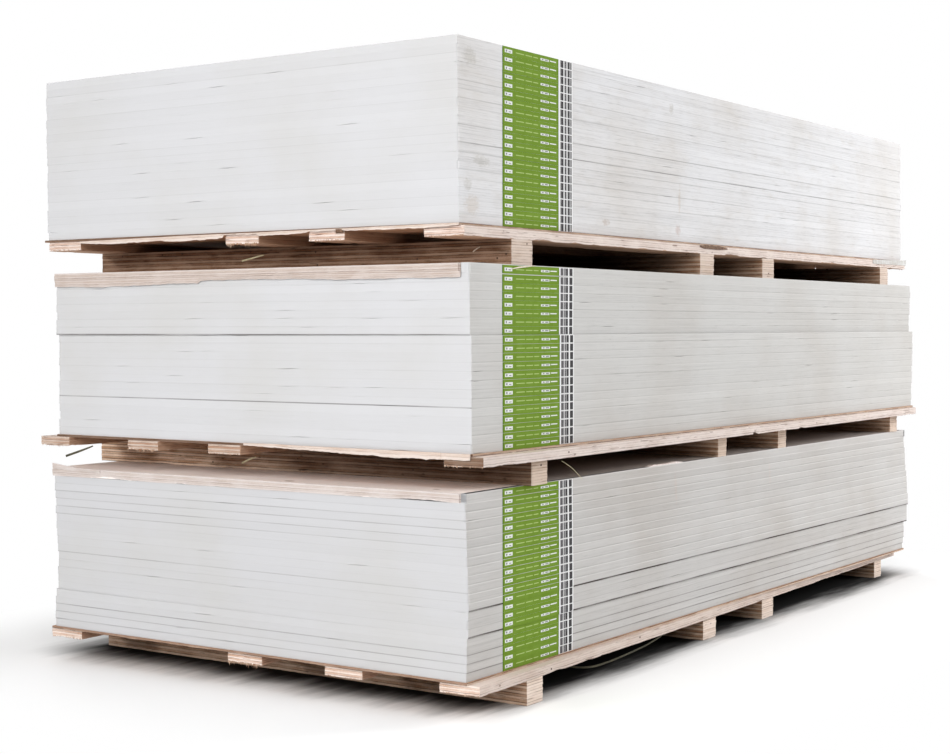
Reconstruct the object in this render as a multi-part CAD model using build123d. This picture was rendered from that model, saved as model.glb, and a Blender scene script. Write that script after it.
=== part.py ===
from build123d import *
import os
from dataclasses import dataclass
from math import atan2, degrees, radians, tan

# Stack of three loaded pallets of building boards, in millimetres.
# +X runs along the boards, +Y across them, +Z up.
# The origin is at floor level, under the middle of the stack's bounding box.

# White building boards
BOARD_LENGTH = 2500.0
BOARD_WIDTH = 1200.0
BOARD_THICKNESS = 17.8
TIGHT_GAP = 0.1  # air between boards that lie flat on one another
LOOSE_GAP = 0.5  # air between boards that are a little bowed

# Plywood base sheet under each pack
BASE_THICKNESS = 5.0
BASE_SIDE_OVERHANG = 6.0
BASE_END_OVERHANG = 5.0

# Pallet timber, cut from plywood
STRIP_THICKNESS = 21.0
STRINGER_HEIGHT = 54.0

# Plywood cover sheet, and the strip of board beside it
COVER_FAR_OVERHANG = 6.0
COVER_END_OVERHANG = 3.0
EDGE_STRIP_CLEARANCE = 0.5


@dataclass(frozen=True)
class Course:
    """Boards that were stacked together, and how far their long edges stand off the datum line.

    Each pair of offsets is at the near end and at the far end of the boards. The first pair is
    the lowest board's, the second pair the highest one's, and the boards between lean evenly.
    """

    count: int
    lowest: tuple
    highest: tuple
    end_shift: float = 0.0
    gap: float = TIGHT_GAP


@dataclass(frozen=True)
class Timber:
    """A strip or stringer: where it starts and how wide it is.

    The start is measured from the pallet's near end or edge, or back from its far one.
    A setback keeps a stringer's near end in from the edge of the strips.
    """

    start: float
    width: float
    from_far: bool = False
    setback: float = 0.0

    def centre(self, span):
        """Middle of the timber, on a pallet of this span."""
        if self.from_far:
            return span - self.start - self.width / 2
        return self.start + self.width / 2


@dataclass(frozen=True)
class Tier:
    """One pallet with its load. All offsets are from the stack's datum corner."""

    name: str
    courses: tuple
    near_overhang: float  # pallet beyond the boards' near long edge
    far_overhang: float
    pallet_side_shift: float  # the boards' nominal place across the pallet
    pallet_end_shift: float
    strip_turn: float  # degrees about +Z, the pallet being nailed out of square
    strips: tuple
    stringers: tuple
    cover_thickness: float = 0.0  # no cover sheet where this is zero
    cover_setback: float = 0.0


LOWER = Tier(
    name="lower",
    courses=(
        Course(1, (1.5, 7.5), (1.5, 7.5)),
        Course(1, (0.8, 4.0), (0.8, 4.0)),
        Course(3, (-0.3, 3.0), (-0.3, 3.0)),
        Course(3, (-3.8, -8.0), (-3.8, -8.0)),
        Course(12, (-5.5, -11.5), (2.0, 4.0), gap=LOOSE_GAP),
    ),
    near_overhang=31.0,
    far_overhang=17.0,
    pallet_side_shift=0.0,
    pallet_end_shift=2.0,
    strip_turn=1.5,
    strips=(
        Timber(start=0.0, width=101.0),
        Timber(start=299.0, width=101.0),
        Timber(start=578.0, width=101.0),
        Timber(start=0.0, width=103.0, from_far=True),
    ),
    stringers=(
        Timber(start=188.0, width=64.0, setback=3.0),
        Timber(start=1067.0, width=74.0, setback=9.0),
        Timber(start=1440.0, width=76.0, setback=8.0),
        Timber(start=108.0, width=59.0, from_far=True, setback=8.0),
    ),
    cover_thickness=20.0,
    cover_setback=10.0,
)
MIDDLE = Tier(
    name="middle",
    courses=(
        Course(13, (-14.0, -20.0), (-14.0, -24.0), end_shift=-1.0, gap=LOOSE_GAP),
        Course(7, (-11.0, -11.0), (-10.5, -15.0), end_shift=-2.0),
    ),
    near_overhang=36.0,
    far_overhang=50.0,
    pallet_side_shift=-13.0,
    pallet_end_shift=-10.0,
    strip_turn=0.2,
    strips=(
        Timber(start=0.0, width=100.0),
        Timber(start=646.0, width=99.0),
        Timber(start=896.0, width=97.0),
        Timber(start=0.0, width=98.0, from_far=True),
    ),
    stringers=(
        Timber(start=220.0, width=65.0, setback=26.0),
        Timber(start=1151.0, width=51.0, setback=45.0),
        Timber(start=1529.0, width=57.0, setback=47.0),
        Timber(start=65.0, width=62.0, from_far=True, setback=40.0),
    ),
    cover_thickness=21.0,
    cover_setback=22.0,
)
UPPER = Tier(
    name="upper",
    courses=(
        Course(8, (17.0, 18.0), (18.2, 19.5)),
        Course(3, (17.4, 18.6), (17.7, 19.0)),
        Course(7, (18.6, 20.0), (19.4, 21.0)),
        Course(3, (19.0, 20.4), (20.0, 21.6)),
    ),
    near_overhang=15.0,
    far_overhang=-2.0,
    pallet_side_shift=18.0,
    pallet_end_shift=0.0,
    strip_turn=0.0,
    strips=(
        Timber(start=0.0, width=103.0),
        Timber(start=306.0, width=98.0),
        Timber(start=545.0, width=99.0),
        Timber(start=0.0, width=112.0, from_far=True),
    ),
    stringers=(
        Timber(start=173.0, width=84.0),
        Timber(start=1043.0, width=79.0),
        Timber(start=1413.0, width=78.0),
        Timber(start=150.0, width=70.0, from_far=True),
    ),
)
TIERS = (LOWER, MIDDLE, UPPER)


def slab(length, width, height):
    """A plain box that starts at the origin and runs along +X, +Y and +Z."""
    return Box(length, width, height, align=(Align.MIN, Align.MIN, Align.MIN))


def laid(offsets, end_shift, level):
    """Place of a board whose long edge stands off the datum line by these two offsets."""
    near, far = offsets
    turn = degrees(atan2(far - near, BOARD_LENGTH))
    return Location((end_shift, near, level), (0, 0, turn))


def between(lowest, highest, share):
    """Offsets of a board part of the way up a course."""
    return tuple(low + (high - low) * share for low, high in zip(lowest, highest))


def build_pallet(tier, level, nodes):
    """Stringers with strips along the top of them. Returns the level of the deck."""
    width = BOARD_WIDTH + tier.near_overhang + tier.far_overhang
    near_edge = tier.pallet_side_shift - tier.near_overhang
    corner = Pos(tier.pallet_end_shift, near_edge, level)
    for number, timber in enumerate(tier.stringers, start=1):
        stringer = slab(timber.width, width, STRINGER_HEIGHT)
        start = timber.centre(BOARD_LENGTH) - timber.width / 2
        near_end = start * tan(radians(tier.strip_turn)) + timber.setback
        nodes[f"stringer_{tier.name}_{number}"] = corner * Pos(start, near_end, 0) * stringer
    for number, timber in enumerate(tier.strips, start=1):
        strip = slab(BOARD_LENGTH, timber.width, STRIP_THICKNESS)
        start = timber.centre(width) - timber.width / 2
        place = Location((0, start, STRINGER_HEIGHT), (0, 0, tier.strip_turn))
        nodes[f"deck_strip_{tier.name}_{number}"] = corner * place * strip
    return level + STRINGER_HEIGHT + STRIP_THICKNESS


def build_base_sheet(tier, level, nodes):
    """Thin sheet on the strips, under the boards. Returns the level of its top."""
    length = BOARD_LENGTH + 2 * BASE_END_OVERHANG
    width = BOARD_WIDTH + 2 * BASE_SIDE_OVERHANG
    lowest = tier.courses[0]
    place = laid(lowest.lowest, lowest.end_shift, level)
    sheet = Pos(-BASE_END_OVERHANG, -BASE_SIDE_OVERHANG, 0) * slab(length, width, BASE_THICKNESS)
    nodes[f"base_sheet_{tier.name}"] = place * sheet
    return level + BASE_THICKNESS


def build_boards(tier, level, nodes):
    """The pack of boards, course by course. Returns the level of its top and its top place."""
    boards = []
    for course in tier.courses:
        for index in range(course.count):
            share = index / max(course.count - 1, 1)
            offsets = between(course.lowest, course.highest, share)
            place = laid(offsets, course.end_shift, level)
            boards.append(place * slab(BOARD_LENGTH, BOARD_WIDTH, BOARD_THICKNESS))
            level += BOARD_THICKNESS + course.gap
    nodes[f"boards_{tier.name}"] = Compound(children=boards)
    return level - tier.courses[-1].gap


def build_cover(tier, level, nodes):
    """Cover sheet on the top board, with the edge strip beside it. Returns the level of its top."""
    if tier.cover_thickness == 0:
        return level
    top = tier.courses[-1]
    place = laid(top.highest, top.end_shift, level)
    length = BOARD_LENGTH + COVER_END_OVERHANG
    width = BOARD_WIDTH - tier.cover_setback + COVER_FAR_OVERHANG
    cover = slab(length, width, tier.cover_thickness)
    nodes[f"cover_sheet_{tier.name}"] = place * Pos(-COVER_END_OVERHANG, tier.cover_setback, 0) * cover
    strip_width = tier.cover_setback - EDGE_STRIP_CLEARANCE
    nodes[f"edge_strip_{tier.name}"] = place * slab(BOARD_LENGTH, strip_width, tier.cover_thickness)
    return level + tier.cover_thickness


nodes = {}
level = 0.0
for tier in TIERS:
    level = build_pallet(tier, level, nodes)
    level = build_base_sheet(tier, level, nodes)
    level = build_boards(tier, level, nodes)
    level = build_cover(tier, level, nodes)

box = Compound(children=[Compound(part.solids()) for part in nodes.values()]).bounding_box()
centring = Pos(-box.center().X, -box.center().Y, 0)

os.makedirs("parts", exist_ok=True)
for name, part in nodes.items():
    solids = [centring * solid for solid in part.solids()]
    shape = solids[0] if len(solids) == 1 else Compound(solids)
    shape.label = name
    export_step(shape, f"parts/{name}.step")
print(f"stack height {level:.1f} mm, {len(nodes)} nodes, box {box.size}")
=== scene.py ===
import logging
import math
import random
from dataclasses import dataclass, replace
from enum import Enum

import bmesh
import bpy
from mathutils import Matrix, Vector, noise


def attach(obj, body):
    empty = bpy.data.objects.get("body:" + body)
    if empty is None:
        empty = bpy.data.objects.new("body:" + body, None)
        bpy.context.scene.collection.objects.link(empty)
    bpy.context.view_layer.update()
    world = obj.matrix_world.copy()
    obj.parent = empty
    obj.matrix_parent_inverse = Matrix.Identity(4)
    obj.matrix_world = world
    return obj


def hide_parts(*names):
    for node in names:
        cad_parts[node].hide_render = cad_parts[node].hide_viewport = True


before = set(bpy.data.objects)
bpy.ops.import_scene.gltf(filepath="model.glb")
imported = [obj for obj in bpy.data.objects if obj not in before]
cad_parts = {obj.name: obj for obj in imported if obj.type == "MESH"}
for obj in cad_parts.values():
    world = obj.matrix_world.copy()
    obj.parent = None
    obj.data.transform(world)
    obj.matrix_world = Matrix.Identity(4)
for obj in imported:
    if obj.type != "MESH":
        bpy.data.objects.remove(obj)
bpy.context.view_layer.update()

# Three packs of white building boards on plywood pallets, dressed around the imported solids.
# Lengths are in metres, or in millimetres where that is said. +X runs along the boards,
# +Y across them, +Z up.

log = logging.getLogger("board_stack")

MM = 0.001
WELD_DISTANCE = 2e-5
DATUM_X, DATUM_Y = 1248.269, 620.169  # the stack's middle, in millimetres from its datum corner

# Wave lengths of the wear along an edge
SLOW_WAVE, QUICK_WAVE = 0.16, 0.011
TORN_WAVE, TORN_TOOTH = 0.07, 0.018
BITE_TOOTH = 0.013
CORNER_STOPS = (4 * MM, 11 * MM)  # distances from a corner that get a point of their own

Colour = tuple[float, float, float, float]
Triple = tuple[float, float, float]
Place = tuple[float, float]
Socket = bpy.types.NodeSocket


def srgb(red: float, green: float, blue: float) -> Colour:
    """Turns a colour given as it looks into the linear one that the sockets take.

    Args:
        red: Red, 0 to 255.
        green: Green, 0 to 255.
        blue: Blue, 0 to 255.

    Returns:
        The linear colour with full alpha.
    """
    linear = []
    for value in (red, green, blue):
        share = value / 255
        linear.append(share / 12.92 if share <= 0.04045 else ((share + 0.055) / 1.055) ** 2.4)
    return (linear[0], linear[1], linear[2], 1.0)


def ripple(seed: float, place: float, size: float) -> float:
    """Smooth noise along a line, from about -1 to 1, for this seed, place and wave length."""
    return noise.noise(Vector((place / size, seed * 7.31, seed * 1.7)))


def beside_datum(x: float, y: float, z: float) -> Vector:
    """Point at these millimetres from the stack's datum corner, at the near end of its near side."""
    return Vector((x - DATUM_X, y - DATUM_Y, z)) * MM


def link_object(name: str, data: bpy.types.ID) -> bpy.types.Object:
    """Adds an object to the scene.

    Args:
        name: Its name.
        data: Its mesh, light or camera.

    Returns:
        The new object.
    """
    thing = bpy.data.objects.new(name, data)
    bpy.context.scene.collection.objects.link(thing)
    return thing


def stand_in(piece: bpy.types.Object, node: str) -> bpy.types.Object:
    """Rides a piece on the root, in the place of a CAD node.

    Args:
        piece: The piece.
        node: The node that it stands for.

    Returns:
        The piece.
    """
    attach(piece, "root")
    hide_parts(node)
    return piece


def loose(piece: bpy.types.Object) -> bpy.types.Object:
    """Rides a piece on the root that stands for no CAD node."""
    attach(piece, "root")
    return piece


class Level(Enum):
    """The three packs, from the floor up."""

    LOWER = "lower"
    MIDDLE = "middle"
    UPPER = "upper"


class Side(Enum):
    """The four vertical faces of a slab, in the order that its outline goes round."""

    NEAR = 0
    FAR_END = 1
    FAR = 2
    NEAR_END = 3


LONG_SIDES = (Side.NEAR, Side.FAR)


class Face(Enum):
    """Which material slot a face of a worn slab takes."""

    LONG_EDGE = 0
    SHORT_EDGE = 1
    FLAT = 2
    LIP = 3


@dataclass(frozen=True)
class Slab:
    """A flat box, perhaps turned about +Z, as one CAD solid is.

    Attributes:
        corner: Its lowest corner, the one nearest in X and Y.
        along: Unit vector down its local X.
        across: Unit vector down its local Y.
        length: Size along.
        width: Size across.
        height: Size up.
    """

    corner: Vector
    along: Vector
    across: Vector
    length: float
    width: float
    height: float

    def at(self, along: float, across: float, up: float) -> Vector:
        """Point at these distances from the corner."""
        return self.corner + self.along * along + self.across * across + Vector((0, 0, up))

    def turn(self) -> float:
        """Angle about +Z, in radians."""
        return math.atan2(self.along.y, self.along.x)


def read_slabs(node: str) -> list[Slab]:
    """Reads the boxes of a CAD node.

    Args:
        node: Name of the node.

    Returns:
        One slab for each solid, from the lowest up.
    """
    shape = bmesh.new()
    shape.from_mesh(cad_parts[node].data)
    shape.transform(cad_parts[node].matrix_world)
    bmesh.ops.remove_doubles(shape, verts=shape.verts, dist=WELD_DISTANCE)
    unseen = set(shape.verts)
    slabs = []
    while unseen:
        island, reached = set(), [unseen.pop()]
        while reached:
            corner = reached.pop()
            island.add(corner)
            for edge in corner.link_edges:
                other = edge.other_vert(corner)
                if other in unseen:
                    unseen.discard(other)
                    reached.append(other)
        points = [vert.co.copy() for vert in island]
        low = min(point.z for point in points)
        high = max(point.z for point in points)
        feet = [point for point in points if point.z < (low + high) / 2]
        near = min(feet, key=lambda point: point.x + point.y)
        along = max(feet, key=lambda point: point.x - point.y) - near
        across = max(feet, key=lambda point: point.y - point.x) - near
        slabs.append(Slab(near, along.normalized(), across.normalized(), along.length, across.length, high - low))
    shape.free()
    return sorted(slabs, key=lambda slab: slab.corner.z)


class MeshPen:
    """Collects points and faces, and writes them as a mesh object at the origin."""

    def __init__(self) -> None:
        """Starts with nothing drawn."""
        self.points: list[Vector] = []
        self.faces: list[list[int]] = []
        self.places: list[Place] = []
        self.kinds: list[int] = []
        self.rows: list[float] = []
        self.seams: list[float] = []

    def point(self, place: Vector, row: float = 0.0) -> int:
        """Adds a point of the slab with this row number.

        Args:
            place: Where it is.
            row: Number of the slab in its pack.

        Returns:
            The point's number.
        """
        self.points.append(place)
        self.rows.append(row)
        return len(self.points) - 1

    def face(self, corners: list[int], places: list[Place], kind: int = 0, seam: float = 0.0) -> None:
        """Adds a face.

        Args:
            corners: Numbers of its points.
            places: Pattern place of each corner.
            kind: Number of its material slot.
            seam: How dark the seam under it is, with its painted shadow.
        """
        self.faces.append(corners)
        self.places.extend(places)
        self.kinds.append(kind)
        self.seams.append(seam)

    def tube(
        self, sections: list[list[Vector]], levels: tuple[float, ...] = (0.05, 0.95, 0.95, 0.05), kind: int = 0
    ) -> None:
        """Adds a closed strand through sections of as many points each, with flat ends.

        Args:
            sections: Points of each section, anticlockwise as seen from the first section.
            levels: Pattern height of each point of a section.
            kind: Number of its material slot.
        """
        numbers = [[self.point(place) for place in section] for section in sections]
        count = len(sections[0])
        run = 0.0
        for index in range(len(sections) - 1):
            before, after = numbers[index], numbers[index + 1]
            far = run + (sections[index + 1][0] - sections[index][0]).length
            for side in range(count):
                other = (side + 1) % count
                low, high = levels[side], levels[other]
                self.face(
                    [before[other], before[side], after[side], after[other]],
                    [(run, high), (run, low), (far, low), (far, high)],
                    kind,
                )
            run = far
        self.face(list(numbers[0]), [(run, 0.5)] * count, kind)
        self.face(list(reversed(numbers[-1])), [(run, 0.5)] * count, kind)

    def write(self, name: str, materials: list[bpy.types.Material]) -> bpy.types.Object:
        """Makes the object.

        Args:
            name: Name of the piece.
            materials: Its materials, in the order of the faces' kinds.

        Returns:
            The new object, linked to the scene.
        """
        mesh = bpy.data.meshes.new(name)
        mesh.from_pydata([tuple(point) for point in self.points], [], self.faces)
        layer = mesh.uv_layers.new(name="edge_place")
        layer.data.foreach_set("uv", [value for place in self.places for value in place])
        for key, domain, values in (("row", "POINT", self.rows), ("seam", "FACE", self.seams)):
            mesh.attributes.new(key, "FLOAT", domain).data.foreach_set("value", values)
        for material in materials:
            mesh.materials.append(material)
        mesh.polygons.foreach_set("material_index", self.kinds)
        mesh.update()
        return link_object(name, mesh)


@dataclass(frozen=True)
class Stop:
    """One point of a slab's outline.

    Attributes:
        along: Its place along the slab.
        across: Its place across the slab.
        inward: The way that leads into the slab.
        run: Its distance round the outline.
        side: The side that it is on.
        corner: True where it is the side's first point.
    """

    along: float
    across: float
    inward: Place
    run: float
    side: Side
    corner: bool


def outline(slab: Slab, step: float) -> list[Stop]:
    """Walks round a slab, anticlockwise as seen from above.

    Args:
        slab: The slab.
        step: Spacing of the points on a side.

    Returns:
        The points, starting at the near corner.
    """
    stops, run, reach = [], 0.0, CORNER_STOPS[-1]
    for side, start, way, inward, size in (
        (Side.NEAR, (0.0, 0.0), (1.0, 0.0), (0.0, 1.0), slab.length),
        (Side.FAR_END, (slab.length, 0.0), (0.0, 1.0), (-1.0, 0.0), slab.width),
        (Side.FAR, (slab.length, slab.width), (-1.0, 0.0), (0.0, -1.0), slab.length),
        (Side.NEAR_END, (0.0, slab.width), (0.0, -1.0), (1.0, 0.0), slab.width),
    ):
        inner = max(1, round((size - 2 * reach) / step))
        places = [0.0, *CORNER_STOPS]
        places += [reach + (size - 2 * reach) * index / inner for index in range(1, inner)]
        places += [size - place for place in reversed(CORNER_STOPS)]
        for index, place in enumerate(places):
            lead = (inward[0] + way[0], inward[1] + way[1]) if index == 0 else inward
            spot = (start[0] + way[0] * place, start[1] + way[1] * place)
            stops.append(Stop(spot[0], spot[1], lead, run + place, side, index == 0))
        run += size
    return stops


@dataclass(frozen=True)
class Ring:
    """One level of a worn slab's side wall.

    Attributes:
        up: Share of the height.
        inset: How far it stands in from the box.
        wander: Size of the slow in-and-out of the edge.
        rough: Size of the quick in-and-out of the edge.
        group: Rings of one group share their wander, as the two faces of one ply do.
    """

    up: float
    inset: float
    wander: float = 0.0
    rough: float = 0.0
    group: int = 0

    def wear(self, seed: float, run: float) -> float:
        """How far the edge goes in at a distance round the outline, never outwards.

        Args:
            seed: Seed of the slab's wear.
            run: Distance round the outline.

        Returns:
            Distance inwards.
        """
        group = seed + self.group * 13.7
        slow = (0.5 + 0.7 * ripple(group, run, SLOW_WAVE)) * self.wander
        quick = abs(ripple(group + 3.3, run, QUICK_WAVE)) * self.rough * 2.0
        return max(self.inset + (slow + quick), 0.0)


@dataclass(frozen=True)
class Bite:
    """A piece torn out of a slab's edge.

    Attributes:
        side: Which side it is on.
        start: Where it starts, along the slab for a long side or across it for an end.
        length: How long it is.
        depth: How far it goes in.
        drop: How far it goes down from the top, or up from the bottom.
        top: True where the upper arris is torn, false for the lower one.
    """

    side: Side
    start: float
    length: float
    depth: float
    drop: float
    top: bool = True

    def share(self, stop: Stop, level: float) -> float:
        """How much of the bite there is at a point of a slab's wall.

        Args:
            stop: The point of the outline.
            level: Share of the slab's height.

        Returns:
            The share, 0 to 1, ragged along its length.
        """
        place = stop.along if self.side in LONG_SIDES else stop.across
        if stop.side is not self.side or not self.start <= place <= self.start + self.length:
            return 0.0
        near = min(place - self.start, self.start + self.length - place) / (0.18 * self.length)
        ragged = 0.75 + 0.45 * ripple(self.start, place, BITE_TOOTH)
        height = level if self.top else 1.0 - level
        return min(near, 1.0) * ragged * max(2.0 * height - 1.0, 0.0)


@dataclass(frozen=True)
class Wear:
    """How a slab's edge is worn.

    Attributes:
        step: Spacing of the outline's points.
        rings: Levels of the side wall, from the bottom up.
        corner: Most that a vertical corner is knocked back.
        chip_rate: Chance that a point of the top or bottom edge is chipped.
        chip: Most that a chip goes in.
        torn: Most that the lower edge is torn upwards.
        bites: Pieces torn out of it.
    """

    step: float
    rings: tuple[Ring, ...]
    corner: float = 0.0
    chip_rate: float = 0.0
    chip: float = 0.0
    torn: float = 0.0
    bites: tuple[Bite, ...] = ()


def draw_slab(pen: MeshPen, slab: Slab, wear: Wear, seed: int, row: float = 0.0, seams: Place = (0.0, 0.0)) -> None:
    """Draws one slab with its worn side wall.

    Args:
        pen: Takes the mesh.
        slab: The slab.
        wear: Its edges.
        seed: Fixed seed of the wear.
        row: Number of the slab in its pack.
        seams: How dark the seam under it is, with its painted shadow, on the long edges and on the short ones.
    """
    chance = random.Random(seed)
    stops = outline(slab, wear.step)
    last = len(wear.rings) - 1
    chips = [
        {index: chance.random() ** 2 * wear.chip for index in range(len(stops)) if chance.random() < wear.chip_rate}
        for _ in ("bottom", "top")
    ]
    knocks = {index: chance.random() ** 2 * wear.corner for index, stop in enumerate(stops) if stop.corner}
    levels = []
    for number, ring in enumerate(wear.rings):
        numbers = []
        for index, stop in enumerate(stops):
            inset, up = ring.wear(seed, stop.run), ring.up * slab.height
            if number in (0, last):
                inset += chips[number > 0].get(index, 0.0)
            if wear.chip_rate and number in (1, last - 1):
                chip = chips[number > 1].get(index, 0.0) * 0.7
                up += chip if number == 1 else -chip
                up = min(max(up, 0.1 * slab.height), 0.9 * slab.height)
            if wear.torn:
                ragged = ripple(seed + 5.1, stop.run, TORN_WAVE) + 0.7 * ripple(seed + 9.4, stop.run, TORN_TOOTH) - 0.15
                up += max(ragged, 0.0) * wear.torn * (1.0 - ring.up) ** 2
            for bite in wear.bites:
                share = bite.share(stop, ring.up)
                inset += bite.depth * share
                up += bite.drop * share * (-1.0 if bite.top else 1.0)
            inset += knocks.get(index, 0.0)
            spot = slab.at(stop.along + stop.inward[0] * inset, stop.across + stop.inward[1] * inset, up)
            numbers.append(pen.point(spot, row))
        levels.append(numbers)
    close_walls(pen, slab, stops, levels, wear, row, seams)


def close_walls(
    pen: MeshPen, slab: Slab, stops: list[Stop], levels: list[list[int]], wear: Wear, row: float, seams: Place
) -> None:
    """Joins the rings of a slab's wall with faces, and closes its top and bottom.

    Args:
        pen: Takes the faces.
        slab: The slab.
        stops: Points of its outline.
        levels: Numbers of each ring's points.
        wear: Its edges, for the rings' heights.
        row: Number of the slab in its pack.
        seams: How dark the seam under it is, with its painted shadow, on the long edges and on the short ones.
    """
    count = len(stops)
    total = 2 * (slab.length + slab.width)
    for number in range(len(levels) - 1):
        low, high = row + wear.rings[number].up, row + wear.rings[number + 1].up
        below, above = levels[number], levels[number + 1]
        for index in range(count):
            after = (index + 1) % count
            start, end = stops[index].run, stops[after].run if after else total
            kind = (Face.LONG_EDGE if stops[index].side in LONG_SIDES else Face.SHORT_EDGE).value
            places = [(start, low), (end, low), (end, high), (start, high)]
            pen.face([below[index], below[after], above[after], above[index]], places, kind, seams[kind])
    middle = [(stop.run, row + 0.5) for stop in stops]
    pen.face(list(reversed(levels[0])), list(reversed(middle)), Face.FLAT.value)
    pen.face(levels[-1], middle, Face.FLAT.value)


class Wire:
    """A value that runs through a material: arithmetic on it adds Math nodes."""

    def __init__(self, shader: "Shader", socket: Socket) -> None:
        """Holds the socket that the value comes out of."""
        self.shader, self.socket = shader, socket

    def __add__(self, other: "Wire | float") -> "Wire":
        """This value plus another."""
        return self.shader.math("ADD", self, other)

    def __sub__(self, other: "Wire | float") -> "Wire":
        """This value less another."""
        return self.shader.math("SUBTRACT", self, other)

    def __mul__(self, other: "Wire | float") -> "Wire":
        """This value times another."""
        return self.shader.math("MULTIPLY", self, other)

    def __truediv__(self, other: "Wire | float") -> "Wire":
        """This value divided by another."""
        return self.shader.math("DIVIDE", self, other)


Input = Wire | float | Colour


class Shader:
    """Builds the nodes of one material. Its patterns read Object coordinates."""

    def __init__(self, name: str) -> None:
        """Starts a material with one Principled shader.

        Args:
            name: Name of the material.
        """
        self.material = bpy.data.materials.new(name)
        self.material.use_nodes = True
        self.nodes = self.material.node_tree.nodes
        self.links = self.material.node_tree.links
        self.bsdf = self.found("BSDF_PRINCIPLED")

    def found(self, kind: str) -> bpy.types.Node:
        """The material's first node of this type."""
        return next(node for node in self.nodes if node.type == kind)

    def node(self, kind: str, inputs: dict[str | int, Input], **settings: object) -> bpy.types.Node:
        """Adds a node.

        Args:
            kind: Type of the node.
            inputs: Value or wire for each input, by its name or number.
            **settings: Properties of the node.

        Returns:
            The node.
        """
        node = self.nodes.new(kind)
        for name, value in settings.items():
            setattr(node, name, value)
        for name, value in inputs.items():
            self.link(value, node.inputs[name])
        return node

    def link(self, value: Input, socket: Socket) -> None:
        """Sets a socket.

        Args:
            value: A wire, or a number or colour.
            socket: The input to set.
        """
        if isinstance(value, Wire):
            self.links.new(value.socket, socket)
        else:
            socket.default_value = value

    def place(self, stretch: Triple = (1.0, 1.0, 1.0)) -> Wire:
        """Object coordinates, stretched by this scale."""
        spot = Wire(self, self.node("ShaderNodeTexCoord", {}).outputs["Object"])
        return Wire(self, self.node("ShaderNodeMapping", {"Vector": spot, "Scale": stretch}).outputs["Vector"])

    def attribute(self, name: str, output: str = "Fac") -> Wire:
        """An attribute of the mesh."""
        return Wire(self, self.node("ShaderNodeAttribute", {}, attribute_name=name).outputs[output])

    def split(self, vector: Wire) -> tuple[Wire, Wire, Wire]:
        """The three parts of a vector."""
        node = self.node("ShaderNodeSeparateXYZ", {"Vector": vector})
        return tuple(Wire(self, node.outputs[axis]) for axis in "XYZ")

    def math(self, kind: str, *values: Input) -> Wire:
        """One Math node of this kind, with its values or wires in order."""
        return Wire(self, self.node("ShaderNodeMath", dict(enumerate(values)), operation=kind).outputs["Value"])

    def held(self, value: Wire) -> Wire:
        """A value held between 0 and 1."""
        return self.math("MINIMUM", self.math("MAXIMUM", value, 0.0), 1.0)

    def ramp(self, value: Wire, low: float, high: float, bottom: float = 0.0, top: float = 1.0) -> Wire:
        """Smooth step of a value from one range to another, held inside it.

        Args:
            value: The value.
            low: Where the step starts.
            high: Where it ends, perhaps below its start.
            bottom: Result at its start.
            top: Result at its end.

        Returns:
            The result.
        """
        sizes = {"Value": value, "From Min": low, "From Max": high, "To Min": bottom, "To Max": top}
        return Wire(self, self.node("ShaderNodeMapRange", sizes, interpolation_type="SMOOTHSTEP").outputs["Result"])

    def mix(self, share: Input, first: Input, second: Input, kind: str = "MIX") -> Wire:
        """Mixes two colours.

        Args:
            share: How much of the second there is.
            first: First colour.
            second: Second colour.
            kind: Way of mixing them.

        Returns:
            The mixed colour.
        """
        sizes = {"Factor": share, 6: first, 7: second}
        return Wire(self, self.node("ShaderNodeMix", sizes, data_type="RGBA", blend_type=kind).outputs[2])

    def grain(self, stretch: Triple, scale: float = 1.0, detail: float = 3.0, roughness: float = 0.55) -> Wire:
        """Noise, about 0.5 in the mean.

        Args:
            stretch: How it is squeezed along each axis.
            scale: Waves to the metre, before the squeeze.
            detail: How many finer waves lie on it.
            roughness: How strong they are.

        Returns:
            The noise.
        """
        sizes = {"Vector": self.place(stretch), "Scale": scale, "Detail": detail, "Roughness": roughness}
        return Wire(self, self.node("ShaderNodeTexNoise", sizes).outputs["Fac"])

    def spots(self, stretch: Triple, scale: float, radius: float, rarity: float) -> Wire:
        """Round spots in some cells of a cell pattern.

        Args:
            stretch: How it is squeezed along each axis.
            scale: Cells to the metre.
            radius: Radius of a spot, as a share of a cell.
            rarity: Share of the cells that have none.

        Returns:
            1 in a spot and 0 outside.
        """
        node = self.node("ShaderNodeTexVoronoi", {"Vector": self.place(stretch), "Scale": scale})
        inside = self.ramp(Wire(self, node.outputs["Distance"]), radius, radius * 0.55)
        red = self.split(Wire(self, node.outputs["Color"]))[0]
        return inside * self.math("GREATER_THAN", red, rarity)

    def random_step(self, value: Wire) -> Wire:
        """A random number for each whole number."""
        step = {"W": self.math("FLOOR", value)}
        return Wire(self, self.node("ShaderNodeTexWhiteNoise", step, noise_dimensions="1D").outputs["Value"])

    def bump(self, height: Wire, distance: float, strength: float) -> None:
        """Lays a bump on the shader, of this height, reach and strength."""
        node = self.node("ShaderNodeBump", {"Distance": distance, "Strength": strength, "Height": height})
        self.links.new(node.outputs["Normal"], self.bsdf.inputs["Normal"])

    def finish(self, colour: Wire, roughness: float, specular: float) -> bpy.types.Material:
        """Sets the shader's colour and gloss.

        Args:
            colour: Base colour.
            roughness: Roughness.
            specular: Specular level.

        Returns:
            The material.
        """
        self.link(colour, self.bsdf.inputs["Base Color"])
        self.bsdf.inputs["Roughness"].default_value = roughness
        self.bsdf.inputs["Specular IOR Level"].default_value = specular
        return self.material

    def show(self, surface: Socket) -> None:
        """Puts another shader than the Principled one on the surface."""
        self.links.new(surface, self.found("OUTPUT_MATERIAL").inputs["Surface"])

    def white_glow(self) -> Socket:
        """A white Emission shader."""
        return self.node("ShaderNodeEmission", {"Color": WHITE}).outputs["Emission"]


EVEN = (1.0, 1.0, 1.0)
WHITE = (1.0, 1.0, 1.0, 1.0)


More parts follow.
